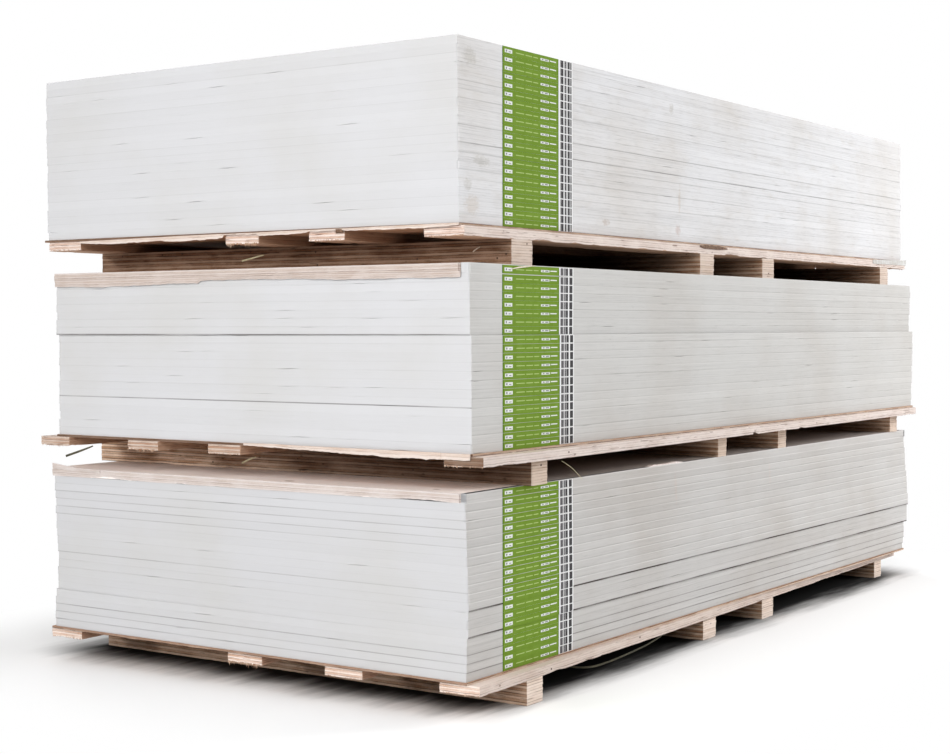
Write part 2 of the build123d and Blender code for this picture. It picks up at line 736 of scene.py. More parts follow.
@dataclass(frozen=True)
class Stain:
    """A soft mark on the pack's near side: its middle, its half sizes, its colour and its strength."""

    x: float
    z: float
    half_x: float
    half_z: float
    colour: Colour
    strength: float


@dataclass(frozen=True)
class BoardFinish:
    """White mineral board: its smooth faces, and the edges where the joints of the pack show.

    Attributes:
        name: Name of the material.
        tone: Colour of the clean board.
        dust: Colour of the dirt on it.
        dust_share: How much of it is dusty, 0 to 1.
        seam: Strength of the dark joint lines where the boards stand a little apart, with painted shadow where they
            stand in steps.
        streak: Strength of the fine lines along the edge.
        smudge: Strength of the cloudy smudges.
        pale: Strength of the painted highlight along the top of each board's edge, where its arris would catch the
            light.
        pale_from: Number of the lowest board that has the painted highlight.
        uneven: How much one board may be darker than the next.
        stains: Marks on the near side.
    """

    name: str
    tone: Colour
    dust: Colour
    dust_share: float
    seam: float
    streak: float
    smudge: float = 0.0
    pale: float = 0.0
    pale_from: float = 0.0
    uneven: float = 0.035
    stains: tuple[Stain, ...] = ()

    def stained(self, shader: Shader, colour: Wire) -> Wire:
        """Lays the stains on the colour, with ragged outlines.

        Args:
            shader: The material's nodes.
            colour: Colour of the clean board.

        Returns:
            The stained colour.
        """
        x, _, z = shader.split(shader.place())
        ragged = shader.grain((1.0, 1.0, 1.6), 110.0, 5.0, 0.7)
        for stain in self.stains:
            across, up = (x - stain.x) / stain.half_x, (z - stain.z) / stain.half_z
            away = shader.math("MULTIPLY_ADD", ragged, 4.0, across * across + up * up - 2.0)
            colour = shader.mix(shader.ramp(away, 1.2, 0.1) * (stain.strength * 0.8), colour, stain.colour)
        return colour

    def material(self) -> bpy.types.Material:
        """Builds the board's material.

        Returns:
            The material.
        """
        shader = Shader(self.name)
        up = shader.math("FRACT", shader.split(shader.attribute("edge_place", "Vector"))[1])
        row, below = shader.attribute("row"), shader.attribute("seam")
        lines = shader.grain((4.0, 4.0, 420.0), roughness=0.6)
        scratch = shader.grain((26.0, 26.0, 640.0), roughness=0.65)
        cloud = shader.grain(EVEN, 3.1, 4.0)
        smear = shader.grain((1.0, 1.0, 3.0), 11.0, 5.0, 0.65)
        broken = shader.ramp(shader.grain((2.0, 2.0, 60.0), 2.5), 0.35, 0.6, 0.45, 1.0)
        specks = shader.spots(EVEN, 26.0, 0.045, 0.9)
        own = shader.random_step(row + 0.5)

        colour = shader.mix(shader.ramp(cloud, 0.35, 0.75, 0.0, self.dust_share), self.tone, self.dust)
        colour = shader.mix(shader.ramp(smear, 0.5, 0.75) * self.smudge, colour, self.dust)
        if self.stains:
            colour = self.stained(shader, colour)
        darker = (
            shader.ramp(lines, 0.45, 0.8, 0.0, self.streak)
            + shader.ramp(scratch, 0.5, 0.85, 0.0, self.streak * 1.4)
            + own * self.uneven
            + specks * 0.25
        )
        colour = shader.mix(darker, colour, srgb(84, 82, 80))
        # Painted highlight along the top arris of each board.
        if self.pale:
            crest = shader.ramp(up, 0.94, 0.97) * (broken * self.pale)
            crest = crest * shader.math("GREATER_THAN", row, self.pale_from - 0.5)
            colour = shader.mix(crest, colour, srgb(236, 234, 232))
        # Dark joint line under each board, with painted shadow where the board stands out over the one below.
        reach = up / shader.math("MAXIMUM", below, 0.05)
        line = shader.ramp(reach, 0.15, 0.07) * (below * broken)
        colour = shader.mix(line * self.seam, colour, srgb(58, 50, 46))
        shader.bump(shader.grain(EVEN, 700.0, 2.0) + lines * 0.6, 0.0001, 0.4)
        return shader.finish(colour, 0.85, 0.08)


@dataclass(frozen=True)
class PaintedShade:
    """Painted shade across the stack: from one Y to another, the colour is multiplied by a darker one where the surface
    lies in shade.
    """

    start: float
    end: float
    colour: Colour


@dataclass(frozen=True)
class PlyEdge:
    """A sawn edge of plywood, where its plies show as stripes.

    Attributes:
        light: Colour of the plies whose grain runs along the edge.
        dark: Colour of the plies that show end grain.
        glue: Colour of the glue lines, cracks and knots.
        plies: Number of plies.
        stripe: Strength of the plies' difference, 0 to 1.
        line: Strength of the glue lines, 0 to 1.
        knots: Strength of cracks and knots, 0 to 1.
        crest: Strength of a painted shadow line along the top, in the gap above the edge, broken into ragged patches.
        foot: Strength of a painted shadow line along the bottom, in the gap below the edge, broken into ragged patches.
        painted_shade: The painted shade that darkens it across the stack, if it has any.
    """

    light: Colour
    dark: Colour
    glue: Colour
    plies: int
    stripe: float
    line: float
    knots: float
    crest: float = 0.0
    foot: float = 0.0
    painted_shade: PaintedShade | None = None

    def material(self, name: str) -> bpy.types.Material:
        """Builds the edge's material.

        Args:
            name: Its name.

        Returns:
            The material.
        """
        shader = Shader(name)
        up = shader.math("FRACT", shader.split(shader.attribute("edge_place", "Vector"))[1])
        wobble = shader.grain((3.0, 3.0, 9.0))
        ply = shader.math("MULTIPLY_ADD", wobble, 0.09, up - 0.045) * float(self.plies)
        number = ply + shader.attribute("row") * 17.0
        other = shader.math("MODULO", shader.math("FLOOR", ply), 2.0)
        fibre = shader.grain((11.0, 11.0, 900.0), roughness=0.65)
        short = shader.grain((230.0, 230.0, 420.0), roughness=0.6)
        blotch = shader.grain((1.0, 1.0, 3.0), 16.0, 4.0, 0.6)
        torn = shader.grain((9.0, 9.0, 30.0), 1.0, 4.0, 0.7)
        cracks = shader.grain((16.0, 16.0, 230.0), detail=2.0)
        marks = shader.spots((1.0, 1.0, 2.0), 30.0, 0.16, 0.84)

        share = (
            other * self.stripe
            + shader.ramp(fibre, 0.35, 0.7, -0.15, 0.35)
            + shader.ramp(blotch, 0.3, 0.75, -0.15, 0.3)
            + shader.math("MULTIPLY_ADD", shader.random_step(number), 0.3, -0.15)
            + shader.ramp(short, 0.3, 0.7, -0.1, 0.12)
        )
        colour = shader.mix(shader.held(share), self.light, self.dark)
        close = shader.math("ABSOLUTE", shader.math("FRACT", ply + 0.5) - 0.5)
        chosen = shader.ramp(shader.random_step(number + 60.5), 0.1, 0.8, 0.3, 1.0)
        ink = shader.ramp(close, 0.17, 0.06) * shader.ramp(blotch, 0.35, 0.6, 0.35, 1.0) * chosen
        colour = shader.mix(ink * self.line, colour, self.glue)
        dark = shader.math("MAXIMUM", shader.ramp(cracks, 0.64, 0.70) * self.knots, marks * self.knots)
        # Painted shadow lines along the top and bottom, where the edge meets a gap; the torn noise only breaks them up.
        for strength, low, high in ((self.crest, 0.62, 0.9), (self.foot, 0.38, 0.1)):
            if strength:
                edge = shader.ramp(up, low, high) * shader.ramp(torn, 0.40, 0.5, 0.1, strength)
                dark = shader.math("MAXIMUM", dark, edge)
        colour = shader.mix(dark, colour, self.glue)
        # Painted shade: the colour darkens across the stack.
        if self.painted_shade:
            y = shader.split(shader.place())[1]
            dim = shader.mix(shader.ramp(y, self.painted_shade.start, self.painted_shade.end), WHITE, self.painted_shade.colour)
            colour = shader.mix(1.0, colour, dim, "MULTIPLY")
        shader.bump(fibre * 0.8 + short * 0.6 + ink * -1.0, 0.0008, 0.8)
        return shader.finish(colour, 0.82, 0.2)


@dataclass(frozen=True)
class PlyFace:
    """A face of plywood, with the grain of its veneer.

    Attributes:
        tone: Colour of the veneer.
        grain: Colour of its grain.
        across: True where the grain runs along Y.
        gap_shade: Strength of the painted shade on the face away from the near end, inside the gap under the pack
            above, 0 to 1.
    """

    tone: Colour
    grain: Colour
    across: bool
    gap_shade: float = 0.0

    def stretch(self, with_grain: float, over_grain: float, up: float) -> Triple:
        """Stretch of a pattern with the grain, over it and up."""
        return (over_grain, with_grain, up) if self.across else (with_grain, over_grain, up)

    def material(self, name: str) -> bpy.types.Material:
        """Builds the face's material.

        Args:
            name: Its name.

        Returns:
            The material.
        """
        shader = Shader(name)
        fibre = shader.grain(self.stretch(6.0, 150.0, 60.0), 1.0, 4.0, 0.6)
        bands = shader.grain(self.stretch(1.3, 22.0, 10.0))
        cloud = shader.grain(EVEN, 2.4, 4.0)
        knots = shader.spots(self.stretch(1.0, 2.0, 1.0), 5.0, 0.09, 0.72)
        share = (
            shader.ramp(bands, 0.3, 0.72, 0.0, 0.6)
            + shader.ramp(fibre, 0.35, 0.7, 0.0, 0.35)
            + shader.ramp(cloud, 0.35, 0.7, -0.1, 0.15)
        )
        colour = shader.mix(shader.held(share), self.tone, self.grain)
        colour = shader.mix(knots * 0.75, colour, srgb(112, 72, 46))
        # Painted shade: the face darkens away from the near end, into the gap under the pack above.
        if self.gap_shade:
            x = shader.split(shader.place())[0]
            colour = shader.mix(shader.ramp(x, -1.04, -0.94, 0.0, self.gap_shade), colour, srgb(44, 34, 27))
        shader.bump(fibre + bands * 0.4, 0.0005, 0.6)
        return shader.finish(colour, 0.8, 0.2)


@dataclass(frozen=True)
class PlyFinish:
    """Raw softwood plywood: its two kinds of edges, its faces, and the torn lips that hang from it.

    Attributes:
        name: What the names of its materials start with.
        long: Finish of the long edges.
        short: Finish of the short edges.
        face: Finish of the faces.
        lip: Finish of the torn lips, if it has any.
    """

    name: str
    long: PlyEdge
    short: PlyEdge
    face: PlyFace
    lip: PlyEdge | None = None

    def materials(self) -> list[bpy.types.Material]:
        """The materials, in the order of the faces' kinds."""
        parts = {"long_edge": self.long, "short_edge": self.short, "face": self.face, "lip": self.lip}
        return [finish.material(f"{self.name}_{part}") for part, finish in parts.items() if finish]


class BarLayout(Enum):
    """How the bars stand on the white end of a label."""

    ONE_BLOCK = "one block of bars, darker on its right"
    TWO_GROUPS = "a narrow group of bars and a wide one"


@dataclass(frozen=True)
class LabelPrint:
    """Plain printed label on a board's edge: a green part with dashes and blocks, a white part with bars.

    Places are in millimetres from the label's left and lower edges.

    Attributes:
        name: Name of the material.
        bars: How its bars stand.
        width: Its width.
        height: Its height.
        green_end: Where the green part ends.
    """

    name: str
    bars: BarLayout
    width: float = 283.4
    height: float = 17.6
    green_end: float = 224.0

    def patch(
        self, shader: Shader, place: tuple[Wire, Wire], left: float, right: float, low: float, high: float
    ) -> Wire:
        """A rectangle.

        Args:
            shader: The material's nodes.
            place: Place on the label, in millimetres.
            left: Left side.
            right: Right side.
            low: Lower side.
            high: Upper side.

        Returns:
            1 inside it and 0 outside.
        """
        across = shader.math("COMPARE", place[0], (left + right) / 2, (right - left) / 2)
        return across * shader.math("COMPARE", place[1], (low + high) / 2, (high - low) / 2)

    def material(self) -> bpy.types.Material:
        """Builds the label's material.

        Returns:
            The material.
        """
        shader = Shader(self.name)
        across, _, up = shader.split(shader.attribute("label_place", "Vector"))
        place = (across * self.width, up * self.height)
        cloud = shader.grain(EVEN, 60.0)
        colour = shader.mix(shader.ramp(cloud, 0.3, 0.7), srgb(108, 137, 46), srgb(114, 143, 54))
        row = shader.attribute("label_row")
        colour = shader.mix(shader.random_step(row + 0.5) * 0.3, colour, srgb(99, 128, 40))
        rim, pale, grey, white = srgb(70, 106, 18), srgb(168, 188, 118), srgb(124, 128, 130), srgb(220, 222, 219)
        for left, right, low, high, ink in (
            (0.0, 3.0, 0.0, 18.0, rim), (221.4, 224.0, 0.0, 18.0, rim),
            (9.0, 38.0, 5.0, 12.4, white), (13.0, 18.0, 6.6, 10.8, grey), (24.0, 33.0, 7.0, 8.8, grey),
            (52.0, 84.0, 8.0, 9.9, pale), (90.0, 116.0, 8.0, 9.9, pale), (121.0, 140.0, 8.0, 9.9, pale),
            (150.0, 184.0, 6.4, 11.0, white), (155.0, 162.0, 7.6, 9.8, grey), (167.0, 180.0, 7.6, 9.8, grey),
            (188.0, 214.0, 8.0, 10.4, white),
        ):
            colour = shader.mix(self.patch(shader, place, left, right, low, high), colour, ink)
        colour = shader.mix(shader.math("GREATER_THAN", place[0], self.green_end), colour, srgb(229, 229, 229))
        dark, mild = srgb(70, 68, 70), srgb(96, 94, 96)
        if self.bars is BarLayout.TWO_GROUPS:
            groups = ((231.0, 245.0, 1.3, 0.8, dark), (249.5, 279.5, 1.2, 0.72, dark))
        else:
            groups = ((229.5, 261.0, 1.4, 0.76, mild), (250.0, 261.0, 1.1, 0.8, dark), (264.5, 280.0, 1.3, 0.74, dark))
        for left, right, pitch, share, ink in groups:
            bars = shader.math("LESS_THAN", shader.random_step(place[0] / pitch), share)
            colour = shader.mix(self.patch(shader, place, left, right, 0.9, 16.7) * bars, colour, ink)
        shader.bump(cloud, 0.0001, 0.3)
        return shader.finish(colour, 0.8, 0.05)


@dataclass(frozen=True)
class PlainFinish:
    """A small piece's finish: two tones in a cloudy mix, with fine roughness."""

    name: str
    tone: Colour
    other: Colour
    scale: float
    roughness: float
    metallic: float = 0.0

    def material(self) -> bpy.types.Material:
        """Builds the material.

        Returns:
            The material.
        """
        shader = Shader(self.name)
        cloud = shader.grain(EVEN, self.scale, 4.0)
        colour = shader.mix(shader.ramp(cloud, 0.3, 0.7), self.tone, self.other)
        shader.bump(cloud, 0.0002, 0.4)
        shader.bsdf.inputs["Metallic"].default_value = self.metallic
        return shader.finish(colour, self.roughness, 0.4)


class Growth:
    """A Geometry Nodes tree built in code, with named inputs, that sets a shape on each place of a mesh."""

    def __init__(self, name: str) -> None:
        """Starts a tree with its geometry input and output.

        Args:
            name: Name of the tree.
        """
        self.tree = bpy.data.node_groups.new(name, "GeometryNodeTree")
        for socket, way in (("Places", "INPUT"), ("Piece", "OUTPUT")):
            self.tree.interface.new_socket(name=socket, in_out=way, socket_type="NodeSocketGeometry")
        self.inlet = self.tree.nodes.new("NodeGroupInput")
        self.outlet = self.tree.nodes.new("NodeGroupOutput")

    def size(self, name: str, kind: str = "NodeSocketFloat") -> Socket:
        """Adds a named input of this kind."""
        self.tree.interface.new_socket(name=name, in_out="INPUT", socket_type=kind)
        return self.inlet.outputs[name]

    def link(self, value: object, socket: Socket) -> None:
        """Sets a socket.

        Args:
            value: Another socket, or a number or vector.
            socket: The input to set.
        """
        if isinstance(value, Socket):
            self.tree.links.new(value, socket)
        else:
            socket.default_value = value

    def node(self, kind: str, output: str, inputs: dict[str, object], **settings: object) -> Socket:
        """Adds a node.

        Args:
            kind: Type of the node.
            output: Name of the output that is used.
            inputs: Value or socket for each named input.
            **settings: Properties of the node, set first.

        Returns:
            The output.
        """
        node = self.tree.nodes.new(kind)
        for name, value in settings.items():
            setattr(node, name, value)
        for name, value in inputs.items():
            self.link(value, next(item for item in node.inputs if item.name == name and item.enabled))
        return next(item for item in node.outputs if item.name == output and item.enabled)

    def math(self, kind: str, first: object, second: object, node_type: str = "ShaderNodeVectorMath") -> Socket:
        """Adds a node that works on two values.

        Args:
            kind: Its operation.
            first: First value or socket.
            second: Second value or socket.
            node_type: Type of the node.

        Returns:
            The result.
        """
        node = self.tree.nodes.new(node_type)
        node.operation = kind
        for value, socket in zip((first, second), node.inputs):
            self.link(value, socket)
        return node.outputs[0]

    def vector(self, x: object, y: object, z: object) -> Socket:
        """A vector of these three values or sockets."""
        return self.node("ShaderNodeCombineXYZ", "Vector", {"X": x, "Y": y, "Z": z})

    def number(self, name: str) -> Socket:
        """A number that each place carries."""
        return self.node("GeometryNodeInputNamedAttribute", "Attribute", {"Name": name}, data_type="FLOAT")

    def store(self, name: str, shape: Socket, value: Socket, data_type: str, domain: str) -> Socket:
        """Keeps a value on a shape as an attribute.

        Args:
            name: Name of the attribute.
            shape: The shape.
            value: The value.
            data_type: Type of the attribute.
            domain: Which of the shape's elements carry it.

        Returns:
            The shape with the attribute.
        """
        inputs = {"Geometry": shape, "Name": name, "Value": value}
        kind = "GeometryNodeStoreNamedAttribute"
        return self.node(kind, "Geometry", inputs, data_type=data_type, domain=domain)

    def scatter(self, shape: Socket, turn: Socket, scale: Socket | Triple = EVEN) -> Socket:
        """Sets a shape on each place.

        Args:
            shape: The shape.
            turn: How it is turned.
            scale: How it is scaled.

        Returns:
            The instances.
        """
        inputs = {"Points": self.inlet.outputs["Places"], "Instance": shape, "Rotation": turn, "Scale": scale}
        return self.node("GeometryNodeInstanceOnPoints", "Instances", inputs)

    def close(self, geometry: Socket, material: Socket) -> None:
        """Ends the tree with real meshes and their material.

        Args:
            geometry: What the tree has made.
            material: The material.
        """
        real = self.node("GeometryNodeRealizeInstances", "Geometry", {"Geometry": geometry})
        dressed = self.node("GeometryNodeSetMaterial", "Geometry", {"Geometry": real, "Material": material})
        self.tree.links.new(dressed, self.outlet.inputs["Piece"])

    def grow(self, name: str, marks: "Marks", sizes: dict[str, object]) -> bpy.types.Object:
        """Runs the tree on a mesh of places and keeps the result as a plain mesh.

        Args:
            name: Name of the piece.
            marks: The places.
            sizes: Value of each named input.

        Returns:
            The piece.
        """
        carrier = link_object(f"{name}_places", marks.mesh(f"{name}_places"))
        modifier = carrier.modifiers.new("growth", "NODES")
        modifier.node_group = self.tree
        for item in self.tree.interface.items_tree:
            if item.in_out == "INPUT" and item.name in sizes:
                modifier[item.identifier] = sizes[item.name]
        graph = bpy.context.evaluated_depsgraph_get()
        evaluated = carrier.evaluated_get(graph)
        grown = bpy.data.meshes.new_from_object(evaluated, preserve_all_data_layers=True, depsgraph=graph)
        carrier.modifiers.remove(modifier)
        bpy.data.objects.remove(carrier)
        grown.name = name
        return loose(link_object(name, grown))


class Marks:
    """Places for a tree to set its shape on, each with a number for the tree to read."""

    def __init__(self, key: str) -> None:
        """Starts with no place. The key names the number that each place carries."""
        self.key = key
        self.found: list[tuple[Vector, float]] = []

    def add(self, place: Vector, value: float) -> None:
        """Adds a place and its number."""
        self.found.append((place, value))

    def mesh(self, name: str) -> bpy.types.Mesh:
        """Makes a mesh of the loose points.

        Args:
            name: Name of the mesh.

        Returns:
            The mesh.
        """
        mesh = bpy.data.meshes.new(name)
        mesh.from_pydata([tuple(place) for place, _ in self.found], [], [])
        layer = mesh.attributes.new(self.key, "FLOAT", "POINT")
        layer.data.foreach_set("value", [value for _, value in self.found])
        return mesh


def label_tree() -> Growth:
    """Builds the tree that sets one label on each board.

    Returns:
        The tree: a thin plate on each place, turned with its board.
    """
    tree = Growth("label_run")
    size = tree.vector(tree.size("Width"), tree.size("Thickness"), tree.size("Height"))
    plate = tree.node("GeometryNodeMeshCube", "Mesh", {"Size": size})
    share = tree.math("DIVIDE", tree.node("GeometryNodeInputPosition", "Position", {}), size)
    placed = tree.math("ADD", share, (0.5, 0.5, 0.5))
    marked = tree.store("label_place", plate, placed, "FLOAT_VECTOR", "POINT")
    plates = tree.scatter(marked, tree.vector(0.0, 0.0, tree.number("turn")))
    row = tree.node("GeometryNodeInputIndex", "Index", {})
    numbered = tree.store("label_row", plates, row, "FLOAT", "INSTANCE")
    tree.close(numbered, tree.size("Material", "NodeSocketMaterial"))
    return tree


def nail_tree() -> Growth:
    """Builds the tree that sets a nail head on each place.

    Returns:
        The tree: a short cylinder, facing the way that its place is turned.
    """
    tree = Growth("nail_heads")
    disc = {"Vertices": 10, "Radius": tree.size("Radius"), "Depth": tree.size("Depth")}
    head = tree.node("GeometryNodeMeshCylinder", "Mesh", disc)
    sizes = {"Min": 0.75, "Max": 1.2, "Seed": tree.size("Seed", "NodeSocketInt")}
    scale = tree.node("FunctionNodeRandomValue", "Value", sizes, data_type="FLOAT")
    heads = tree.scatter(head, tree.vector(math.pi / 2, 0.0, tree.number("turn")), scale)
    tree.close(heads, tree.size("Material", "NodeSocketMaterial"))
    return tree


def splinter_tree() -> Growth:
    """Builds the tree that hangs a thin splinter from each place.

    Returns:
        The tree: a narrow wedge, leaning a little and of its own length.
    """
    tree = Growth("splinter_fringe")
    wedge = {
        "Vertices": 4, "Radius Top": 0.0, "Radius Bottom": tree.size("Thickness"), "Depth": tree.size("Length"),
    }
    lean = tree.size("Lean")
    back = tree.math("MULTIPLY", lean, -1.0, "ShaderNodeMath")
    turns = {
        "Min": tree.vector(back, back, 0.0), "Max": tree.vector(lean, lean, 2 * math.pi),
        "Seed": tree.size("Seed", "NodeSocketInt"),
    }
    turn = tree.node("FunctionNodeRandomValue", "Value", turns, data_type="FLOAT_VECTOR")
    down = tree.math("ADD", turn, (math.pi, 0.0, 0.0))
    shape = tree.node("GeometryNodeMeshCone", "Mesh", wedge)
    wedges = tree.scatter(shape, down, tree.vector(1.0, 1.0, tree.number("reach")))
    tree.close(wedges, tree.size("Material", "NodeSocketMaterial"))
    return tree


BOARD_ARRIS = (0.06 * MM, 0.03 * MM, 0.06 * MM)
BOARD_WEAR = Wear(
    step=34 * MM,
    rings=(
        Ring(0.0, *BOARD_ARRIS, 1), Ring(0.01, 0.0, group=2), Ring(0.99, 0.0, group=2), Ring(1.0, *BOARD_ARRIS, 3),
    ),
    corner=2.2 * MM,
    chip_rate=0.035,
    chip=2.5 * MM,
)


@dataclass
class BoardPack:
    """One pack of boards, with its edge strip where it has a cover, and its labels.

    Attributes:
        level: Which pack.
        label_start: Distance of the labels from the boards' near end, for a board on the stack's middle line.
        long_edge: Finish of the long edges.
        short_edge: Finish of the short ends.
        face: Finish of the faces.
        label_print: The labels' print.
        has_strip: True where an edge strip lies beside the cover sheet.
        end_seams: Boards with a seam that shows on the short ends, and how dark it is, painted shadow under a step
            included.
        long_seams: The same for the long edges.
        label_thickness: Thickness of a label, most of which is sunk in the board.
        label_proud: How far a label stands out.
        label_lean: How much farther on a label is for each measure that its board is set back.
    """

    level: Level
    label_start: float
    long_edge: BoardFinish
    short_edge: BoardFinish
    face: BoardFinish
    label_print: LabelPrint
    has_strip: bool
    end_seams: dict[int, float]
    long_seams: dict[int, float]
    label_thickness: float = 0.5 * MM
    label_proud: float = 0.2 * MM
    label_lean: float = 1.55

    def seams(self, boards: list[Slab], row: int, chance: random.Random) -> Place:
        """How dark the seam under a board is: a faint joint line, with painted shadow added where it stands out over
        the board below.

        Args:
            boards: The boards, from the lowest up.
            row: Number of the board.
            chance: Source of the small differences.

        Returns:
            The seam on the long edges, and on the short ends.
        """
        faint = 0.1 + 0.2 * chance.random() ** 2
        end = self.end_seams.get(row, 0.12 * chance.random())
        if row in self.long_seams:
            return self.long_seams[row], end
        if row == 0:
            return faint, end
        # Painted shadow under a board that stands out over the one below.
        stands_out = boards[row - 1].corner.y - boards[row].corner.y
        if stands_out <= 0.5 * MM:
            return faint, end
        return max(faint, min(0.35 + stands_out / (4.0 * MM), 1.0)), end

    def build(self, labels: Growth) -> list[bpy.types.Object]:
        """Makes the boards, the edge strip and the labels.

        Args:
            labels: Tree that sets the labels.

        Returns:
            The pieces.
        """
        name = self.level.value
        materials = [self.long_edge.material(), self.short_edge.material(), self.face.material()]
        boards = read_slabs(f"boards_{name}")
        pen = MeshPen()
        chance = random.Random(f"seams {name}")
        for row, board in enumerate(boards):
            seams = self.seams(boards, row, chance)
            above = boards[row + 1].corner.z if row + 1 < len(boards) else board.corner.z + board.height
            full = replace(board, height=above - board.corner.z)
            draw_slab(pen, full, BOARD_WEAR, 100 * (1 + row) + len(name), float(row), seams)
        pieces = [stand_in(pen.write(f"board_pack_{name}", materials), f"boards_{name}")]
        if self.has_strip:
            boards += read_slabs(f"edge_strip_{name}")
            pen = MeshPen()
            draw_slab(pen, boards[-1], BOARD_WEAR, 77, float(len(boards)))
            beside = pen.write(f"board_edge_strip_{name}", materials)
            pieces.append(stand_in(beside, f"edge_strip_{name}"))
        pieces.append(self.labels(boards, labels))
        return pieces

    def labels(self, boards: list[Slab], tree: Growth) -> bpy.types.Object:
        """Sets a label on the near long edge of each board.

        Args:
            boards: The boards.
            tree: Tree that sets the labels.

        Returns:
            The labels, as one piece.
        """
        marks, half = Marks("turn"), self.label_print.width * MM / 2
        sunk = self.label_thickness / 2 - self.label_proud
        for board in boards:
            middle = self.label_start + self.label_lean * board.corner.y + half
            marks.add(board.at(middle, sunk, board.height / 2), board.turn())
        sizes = {
            "Width": self.label_print.width * MM,
            "Height": self.label_print.height * MM,
            "Thickness": self.label_thickness,
            "Material": self.label_print.material(),
        }
        return tree.grow(f"labels_{self.level.value}", marks, sizes)


def ply_rings(plies: int, inset: float, wander: float, rough: float) -> tuple[Ring, ...]:
    """Rings of a plywood edge: each ply stands in by its own amount.

    Args:
        plies: Number of plies.
        inset: Rounding of the two arrises.
        wander: Size of each ply's slow in-and-out.
        rough: Size of each ply's quick in-and-out.

    Returns:
        The rings, from the bottom up.
    """
    rings = []
    for ply in range(plies):
        outer = inset if ply in (0, plies - 1) else 0.0
        for up in (ply / plies, (ply + 1) / plies - 0.02 / plies):
            rings.append(Ring(up, outer, wander, rough, ply + 1))
    return tuple(rings)


STRINGER_WEAR = Wear(14 * MM, ply_rings(9, 0.2 * MM, 0.7 * MM, 0.8 * MM), corner=1.5 * MM, torn=2 * MM)
STRIP_WEAR = Wear(8 * MM, ply_rings(5, 0.3 * MM, 0.7 * MM, 0.7 * MM), corner=2 * MM, torn=5 * MM)
FRAYED_STRIP = 3  # the strip whose ends have the most splinters


@dataclass
class Timber:
    """The plywood pieces of one pallet: four stringers and four deck strips.

    Attributes:
        level: Which pallet.
        first_finish: Finish of the stringer nearest to the end that shows; its side is painted lighter on the middle
            pallet and darker on the top one, as painted light and shade.
        inner_finish: Finish of the other stringers, whose sides carry painted shade in the gaps.
        strip_finish: Finish of the deck strips.
        near_bites: Pieces torn out of the near strip.
        fringe: Tree that hangs the splinters.
        splinter_length: Length of the longest splinter.
    """

    level: Level
    first_finish: PlyFinish
    inner_finish: PlyFinish
    strip_finish: PlyFinish
    near_bites: tuple[Bite, ...]
    fringe: Growth
    splinter_length: float = 13 * MM

    def build(self) -> list[bpy.types.Object]:
        """Makes the pallet's pieces.

        Returns:
            One piece for each stringer and strip, and the fringe of splinters.
        """
        finishes = (self.first_finish, self.inner_finish, self.strip_finish)
        first, inner, strips = [finish.materials() for finish in finishes]
        pieces, marks = [], Marks("reach")
        chance = random.Random(f"splinters {self.level.value}")
        for number in range(1, 5):
            strip_wear = replace(STRIP_WEAR, bites=self.near_bites) if number == 1 else STRIP_WEAR
            for kind, slot, wear, materials in (
                ("stringer", "stringer_plywood", STRINGER_WEAR, first if number == 1 else inner),
                ("deck_strip", "strip_plywood", strip_wear, strips),
            ):
                node = f"{kind}_{self.level.value}_{number}"
                slab = read_slabs(node)[0]
                pen = MeshPen()
                draw_slab(pen, slab, wear, 31 * number + len(node), float(number))
                pieces.append(stand_in(pen.write(f"sawn_{node}", materials), node))
            self.fray(slab, number == FRAYED_STRIP, chance, marks)
        wood = PlainFinish(
            f"splinter_wood_{self.level.value}", srgb(206, 180, 158), srgb(150, 110, 84), 90.0, 0.85
        )
        sizes = {
            "Length": self.splinter_length, "Thickness": 1.2 * MM, "Lean": 0.5, "Seed": 7, "Material": wood.material(),
        }
        pieces.append(self.fringe.grow(f"splinters_{self.level.value}", marks, sizes))
        return pieces

    def fray(self, strip: Slab, worst: bool, chance: random.Random, marks: Marks) -> None:
        """Marks the places of the splinters on the two ends of a strip.

        Args:
            strip: The strip.
            worst: True for the strip that is frayed most.
            chance: Source of the places and lengths.
            marks: Takes each place with the length of its splinter.
        """
        count, most = (45, 1.0) if worst else (22, 0.5)
        for along in (0.4 * MM, strip.length - 0.4 * MM):
            for _ in range(count):
                place = strip.at(along, strip.width * (0.03 + 0.94 * chance.random()), 2.0 * MM)
                marks.add(place, most * (0.25 + 0.75 * chance.random() ** 2))


Lip = tuple[tuple[float, float, float, float], ...]
LIP_STEP = 4.0  # spacing of a lip's sections, in millimetres
LIP_THICKNESS = 2.6 * MM


